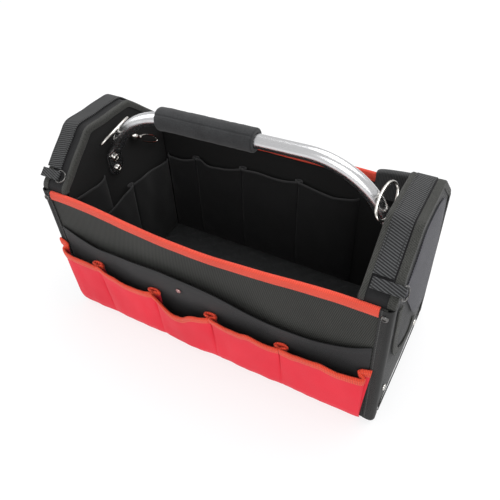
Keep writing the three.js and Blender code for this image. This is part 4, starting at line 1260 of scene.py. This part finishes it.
class TOTE_OT_handle(bpy.types.Operator):
    """Bent tube with flattened ends, and its foam grip"""

    bl_idname = "tote.handle"
    bl_label = "Handle"

    def stations(self, side):
        """From the middle to the tip of one end: place, direction, flatness and share of the width."""
        found = []
        flat_top = TANG_TIP + TANG_FLAT
        bend_end = math.asin((flat_top + TANG_TAPER - HANDLE_TOP + HANDLE_BEND) / HANDLE_BEND)
        for k in range(10):
            found.append((handle_point(side * BEND_FROM * k / 10, HANDLE_TOP), Vector((side, 0, 0)), 0, 1))
        for k in range(33):
            angle = blend(math.pi / 2, bend_end, k / 32)
            x = BEND_FROM + HANDLE_BEND * math.cos(angle)
            z = HANDLE_TOP - HANDLE_BEND + HANDLE_BEND * math.sin(angle)
            along = Vector((side * math.sin(angle), 0, -math.cos(angle)))
            found.append((handle_point(side * x, z), along, 0, 1))
        for k in range(1, 13):
            share = k / 12
            half = TUBE_RADIUS + (TANG_THICKNESS / 2 - TUBE_RADIUS) * ease(share)
            z = flat_top + TANG_TAPER * (1 - share)
            x = blend(handle_reach(z), INNER_HALF - SEAM - half, share)
            along = Vector((side * 0.25 * (1 - share), 0, -1)).normalized()
            found.append((handle_point(side * x, z), along, ease(share), 1))
        x = INNER_HALF - SEAM - TANG_THICKNESS / 2
        for k in range(1, 5):
            z = blend(flat_top, TANG_TIP + 14, k / 4)
            found.append((handle_point(side * x, z), Vector((0, 0, -1)), 1, 1))
        for k in range(1, 13):
            angle = math.pi / 2 * k / 12.4
            tip = handle_point(side * x, TANG_TIP + 14 - 14 * math.sin(angle))
            found.append((tip, Vector((0, 0, -1)), 1, math.cos(angle)))
        return found

    def execute(self, context):
        right = self.stations(1)
        left = [(point, -along, flat, wide) for point, along, flat, wide in self.stations(-1)]
        line = left[:0:-1] + right
        last = len(line) - 1

        def tube(u, v):
            point, along, flat, wide = line[round(u * last)]
            across = Vector((along.z, 0, -along.x)).normalized()
            p = TUBE_RADIUS + (TANG_THICKNESS / 2 - TUBE_RADIUS) * flat
            q = (TUBE_RADIUS + (TANG_WIDTH / 2 - TUBE_RADIUS) * flat) * wide
            power = 1 - 0.55 * flat
            angle = 2 * math.pi * (v % 1)
            c, s = math.cos(angle), math.sin(angle)
            c, s = math.copysign(abs(c) ** power, c), math.copysign(abs(s) ** power, s)
            return point + across * p * c + Vector((0, q * s, 0))

        piece = close_up(sheet("handle_tube_steel", last, 40, tube))
        settle(piece, "tube_steel", "tube", "handle_tube")

        bore, shoulder = TUBE_RADIUS + 0.6, GRIP_RADIUS - GRIP_CORNER
        flat = GRIP_LENGTH - 2 * GRIP_CORNER
        angles = [a * math.pi / 16 for a in range(9)]
        turns = [(GRIP_CORNER * math.sin(angle), GRIP_CORNER * math.cos(angle)) for angle in angles]
        profile = [(0, bore)]
        profile += [(GRIP_CORNER - across, shoulder + out) for out, across in turns]
        profile += [(GRIP_CORNER + flat * k / 22, GRIP_RADIUS - 0.35 * math.sin(k * 1.3) ** 2)
                    for k in range(1, 22)]
        profile += [(GRIP_LENGTH - GRIP_CORNER + out, shoulder + across) for out, across in turns]
        profile += [(GRIP_LENGTH, bore)]
        profile += [(GRIP_LENGTH - GRIP_LENGTH * k / 20, bore) for k in range(1, 21)]
        ends = len(profile) - 1

        def grip(u, v):
            along_at, radius = profile[round(u * ends)]
            x = GRIP_START + along_at
            rise = handle_height(x + 0.5) - handle_height(x - 0.5)
            along = Vector((1, 0, rise)).normalized()
            across = Vector((along.z, 0, -along.x)).normalized()
            angle = 2 * math.pi * (v % 1)
            dent = 0.35 * crease(x, angle * 12, 22, 90) if radius > 12 else 0
            if radius > 12 and abs(angle - 3.9) < 0.07:
                dent -= 0.9
            return handle_point(x, handle_height(x)) + (radius + dent) * (
                across * math.cos(angle) + Vector((0, math.sin(angle), 0)))

        piece = close_up(sheet("handle_grip_foam", ends, 96, grip), fill=False)
        settle(piece, "foam", "foam", "handle_grip")
        return {"FINISHED"}


class TOTE_OT_hardware(bpy.types.Operator):
    """Rings on the handle, hooks, bolts, rivets and the snap"""

    bl_idname = "tote.hardware"
    bl_label = "Hardware"

    def pick_none(self):
        bpy.ops.object.mode_set(mode="EDIT")
        bpy.ops.mesh.select_all(action="DESELECT")
        bpy.ops.object.mode_set(mode="OBJECT")

    def head(self, name, place, way, radius, rise, node, recess, paint="plated"):
        """A round head with a sunk middle that stands on a face."""
        clear_selection()
        bpy.ops.mesh.primitive_cylinder_add(vertices=32, radius=radius * MM, depth=rise * MM)
        piece = bpy.context.object
        piece.name = name
        use(piece)
        self.pick_none()
        for edge in piece.data.edges:
            edge.select = min(piece.data.vertices[i].co.z for i in edge.vertices) > rise * 0.4 * MM
        bpy.ops.object.mode_set(mode="EDIT")
        bpy.ops.mesh.bevel(offset=min(rise * 0.75, radius * 0.4) * MM, segments=4)
        bpy.ops.object.mode_set(mode="OBJECT")
        self.pick_none()
        for face in piece.data.polygons:
            face.select = face.normal.z > 0.99 and face.center.z > rise * 0.45 * MM
        bpy.ops.object.mode_set(mode="EDIT")
        bpy.ops.mesh.inset(thickness=radius * 0.12 * MM)
        bpy.ops.mesh.inset(thickness=radius * 0.08 * MM, depth=-recess * MM)
        bpy.ops.object.mode_set(mode="OBJECT")
        turn = Vector((0, 0, 1)).rotation_difference(way).to_matrix().to_4x4()
        piece.data.transform(Matrix.Translation((place + way * rise / 2) * MM) @ turn)
        smooth(piece, 35)
        settle(piece, "chrome", paint, node)

    def execute(self, context):
        half = BASE_DEPTH / 2
        for name, side in SIDES:
            inward = Vector((-side, 0, 0))
            for i, z in enumerate(BOLT_HEIGHTS):
                place = handle_point(side * (INNER_HALF - TANG_THICKNESS - 2 * SEAM), z)
                self.head(f"bolt_{name}_{i + 1}", place, inward, 5.5, 3.3, f"handle_bolt_{name}_{i + 1}", 1.0)
            for where, across, up in (("low", -0.77, 0.166), ("high", 0.105, 0.259)):
                y, z = across * half, up * RIDGE_HEIGHT
                place = Vector((side * (end_face(y, z) + 0.6), y, z))
                self.head(f"rivet_{name}_{where}", place, -inward, 4.5, 2.3, f"end_rivet_{name}_{where}", 0.4)
            z = RIM_HEIGHT - 11
            place = Vector((side * (SKIN_HALF - CORNER_TURN), -half_depth(z) - 0.6 - TAPE, z))
            outward = Vector((0, -1, 0))
            self.head(f"tape_rivet_{name}_head", place, outward, 4.5, 2.3, f"tape_rivet_{name}", 1.0,
                      "dark plated")
            self.ring(name, side)
            self.hook(name, side)
        at = Vector((-26, -slash_face(-26, 138) - 0.6, 138))
        ahead = Vector((-25, -slash_face(-25, 138) - 0.6, 138)) - at
        above = Vector((-26, -slash_face(-26, 139) - 0.6, 139)) - at
        self.head("snap_head", at, ahead.cross(above).normalized(), 4, 2, "snap_button", 0.5, "coppery")
        return {"FINISHED"}

    def ring(self, name, side):
        """Oval ring lying on the outside of the tube's bend, with its back end higher."""
        out = HANDLE_BEND + TUBE_RADIUS + RING_WIRE + RING_CLEARANCE
        x, z = BEND_FROM + out * math.cos(RING_PLACE), HANDLE_TOP - HANDLE_BEND + out * math.sin(RING_PLACE)
        centre = handle_point(side * x, z)
        inward = Vector((-side, 0, 1)).normalized()
        back = Vector((0, RING_REACH, RING_TILT)).normalized()
        points = []
        for k in range(64):
            turn = 2 * math.pi * k / 64
            rise = math.copysign(abs(math.sin(turn)) ** 0.8, math.sin(turn))
            points.append(centre + back * RING_REACH * math.cos(turn) + inward * RING_HALF_WIDTH * rise)
        piece = wire(f"handle_ring_{name}_wire", points, RING_WIRE, 16)
        settle(piece, "chrome", "plated", f"handle_ring_{name}")

    def hook(self, name, side):
        """Small hook behind the tube: a faceted ferrule and a wire eye."""
        start = Vector((side * (INNER_HALF - SEAM - 5), HOOK_Y, HOOK_Z))
        along = Vector((0, math.cos(HOOK_FALL), -math.sin(HOOK_FALL)))
        wide = Vector((0, math.sin(HOOK_FALL), math.cos(HOOK_FALL)))
        points = []
        for k in range(48):
            turn = 2 * math.pi * k / 48
            reach = EYE_AT - EYE_REACH * math.cos(turn)
            points.append(start + along * reach + wide * EYE_HALF_WIDTH * math.sin(turn))
        eye = wire(f"hook_{name}_eye", points, EYE_WIRE, 12)
        settle(eye, "chrome", "plated", f"hook_{name}")

        profile = ((0, 0.01), (0, 2.0), (2, 2.6), (5, 5.0), (8, 5.4), (13, 5.2), (15, 3.6), (17, 3.5), (18, 4.3),
                   (21, 4.2), (23, 2.4), (23, 0.01))

        def ferrule(u, v):
            run, radius = profile[round(u * (len(profile) - 1))]
            angle = 2 * math.pi * (v % 1)
            return start + along * run + radius * (wide * math.cos(angle) + Vector((1, 0, 0)) * math.sin(angle))

        knob = close_up(sheet(f"hook_{name}_ferrule", len(profile) - 1, 12, ferrule))
        settle(knob, "chrome", "plated")


class TOTE_OT_stage(bpy.types.Operator):
    """Pale floor, soft light and the camera"""

    bl_idname = "tote.stage"
    bl_label = "Stage"

    def execute(self, context):
        values = context.scene.tote_stage
        clear_selection()
        bpy.ops.mesh.primitive_plane_add(size=14, location=(0, 0, -0.0004))
        floor = bpy.context.object
        floor.name = "floor"
        paint = Paint("pale floor", 0.6, Specular_IOR_Level=0.1, Emission_Color=(1, 1, 1),
                      Emission_Strength=values.glow)
        paint.colour(paint.mix(paint.grain(3, 2.0), tuple(values.floor), shade(values.floor, 0.99)))
        floor.data.materials.append(paint.material)

        world = bpy.data.worlds.new("studio")
        context.scene.world = world
        world.use_nodes = True
        sky = next(node for node in world.node_tree.nodes if node.type == "BACKGROUND")
        sky.inputs["Color"].default_value = (1, 1, 1, 1)
        sky.inputs["Strength"].default_value = values.sky

        lights = (
            ("key", (0.5, 0.9, 2.2), (0, 0, 0.1), 1.8, values.key),
            ("fill", (0.9, -1.9, 1.4), (0, 0, 0.12), 1.5, values.key * 0.55),
            ("left", (-1.9, -0.5, 1.3), (0, 0, 0.12), 1.2, values.key * 0.3),
        )
        for name, place, aim, size, power in lights:
            bpy.ops.object.light_add(type="AREA", location=place)
            light = bpy.context.object
            light.name = name
            light.data.shape = "SQUARE"
            light.data.size = size
            light.data.energy = power
            light.rotation_euler = (Vector(place) - Vector(aim)).to_track_quat("Z", "Y").to_euler()

        bpy.ops.object.camera_add()
        camera = bpy.context.object
        camera.name = "photo view"
        camera.data.lens = CAMERA_LENS
        camera.data.sensor_width = CAMERA_SENSOR
        camera.data.clip_end = 50
        turn = Matrix.Rotation(CAMERA_YAW, 4, "Z") @ Matrix.Rotation(math.pi / 2 - CAMERA_PITCH, 4, "X")
        roll = Matrix.Rotation(CAMERA_ROLL, 4, "Z")
        camera.matrix_world = Matrix.Translation(CAMERA_PLACE) @ turn @ roll
        context.scene.camera = camera
        context.scene.view_settings.view_transform = "Standard"
        return {"FINISHED"}


STEPS = (
    TOTE_OT_stage, TOTE_OT_walls, TOTE_OT_rim_tapes, TOTE_OT_floor, TOTE_OT_ends, TOTE_OT_ridges,
    TOTE_OT_corners, TOTE_OT_slash_pocket, TOTE_OT_tool_pockets, TOTE_OT_inside_pockets,
    TOTE_OT_end_trim, TOTE_OT_handle, TOTE_OT_hardware,
)


class TOTE_PT_panel(bpy.types.Panel):
    """Sizes and steps of the tote"""

    bl_label = "Tool tote"
    bl_space_type = "VIEW_3D"
    bl_region_type = "UI"
    bl_category = "Tote"

    def draw(self, context):
        for key in ("pocket_cloth", "unevenness"):
            self.layout.prop(context.scene.tote_sizes, key)
        for key in ("floor", "glow", "sky", "key"):
            self.layout.prop(context.scene.tote_stage, key)
        for step in STEPS:
            self.layout.operator(step.bl_idname)


def register():
    for item in (ToteSizes, ToteStage, *STEPS, TOTE_PT_panel):
        bpy.utils.register_class(item)
    bpy.types.Scene.tote_sizes = bpy.props.PointerProperty(type=ToteSizes)
    bpy.types.Scene.tote_stage = bpy.props.PointerProperty(type=ToteStage)


def unregister():
    del bpy.types.Scene.tote_sizes
    del bpy.types.Scene.tote_stage
    for item in reversed((ToteSizes, ToteStage, *STEPS, TOTE_PT_panel)):
        bpy.utils.unregister_class(item)


def main():
    register()
    for step in STEPS:
        group, name = step.bl_idname.split(".")
        getattr(getattr(bpy.ops, group), name)()


if __name__ == "__main__":
    main()
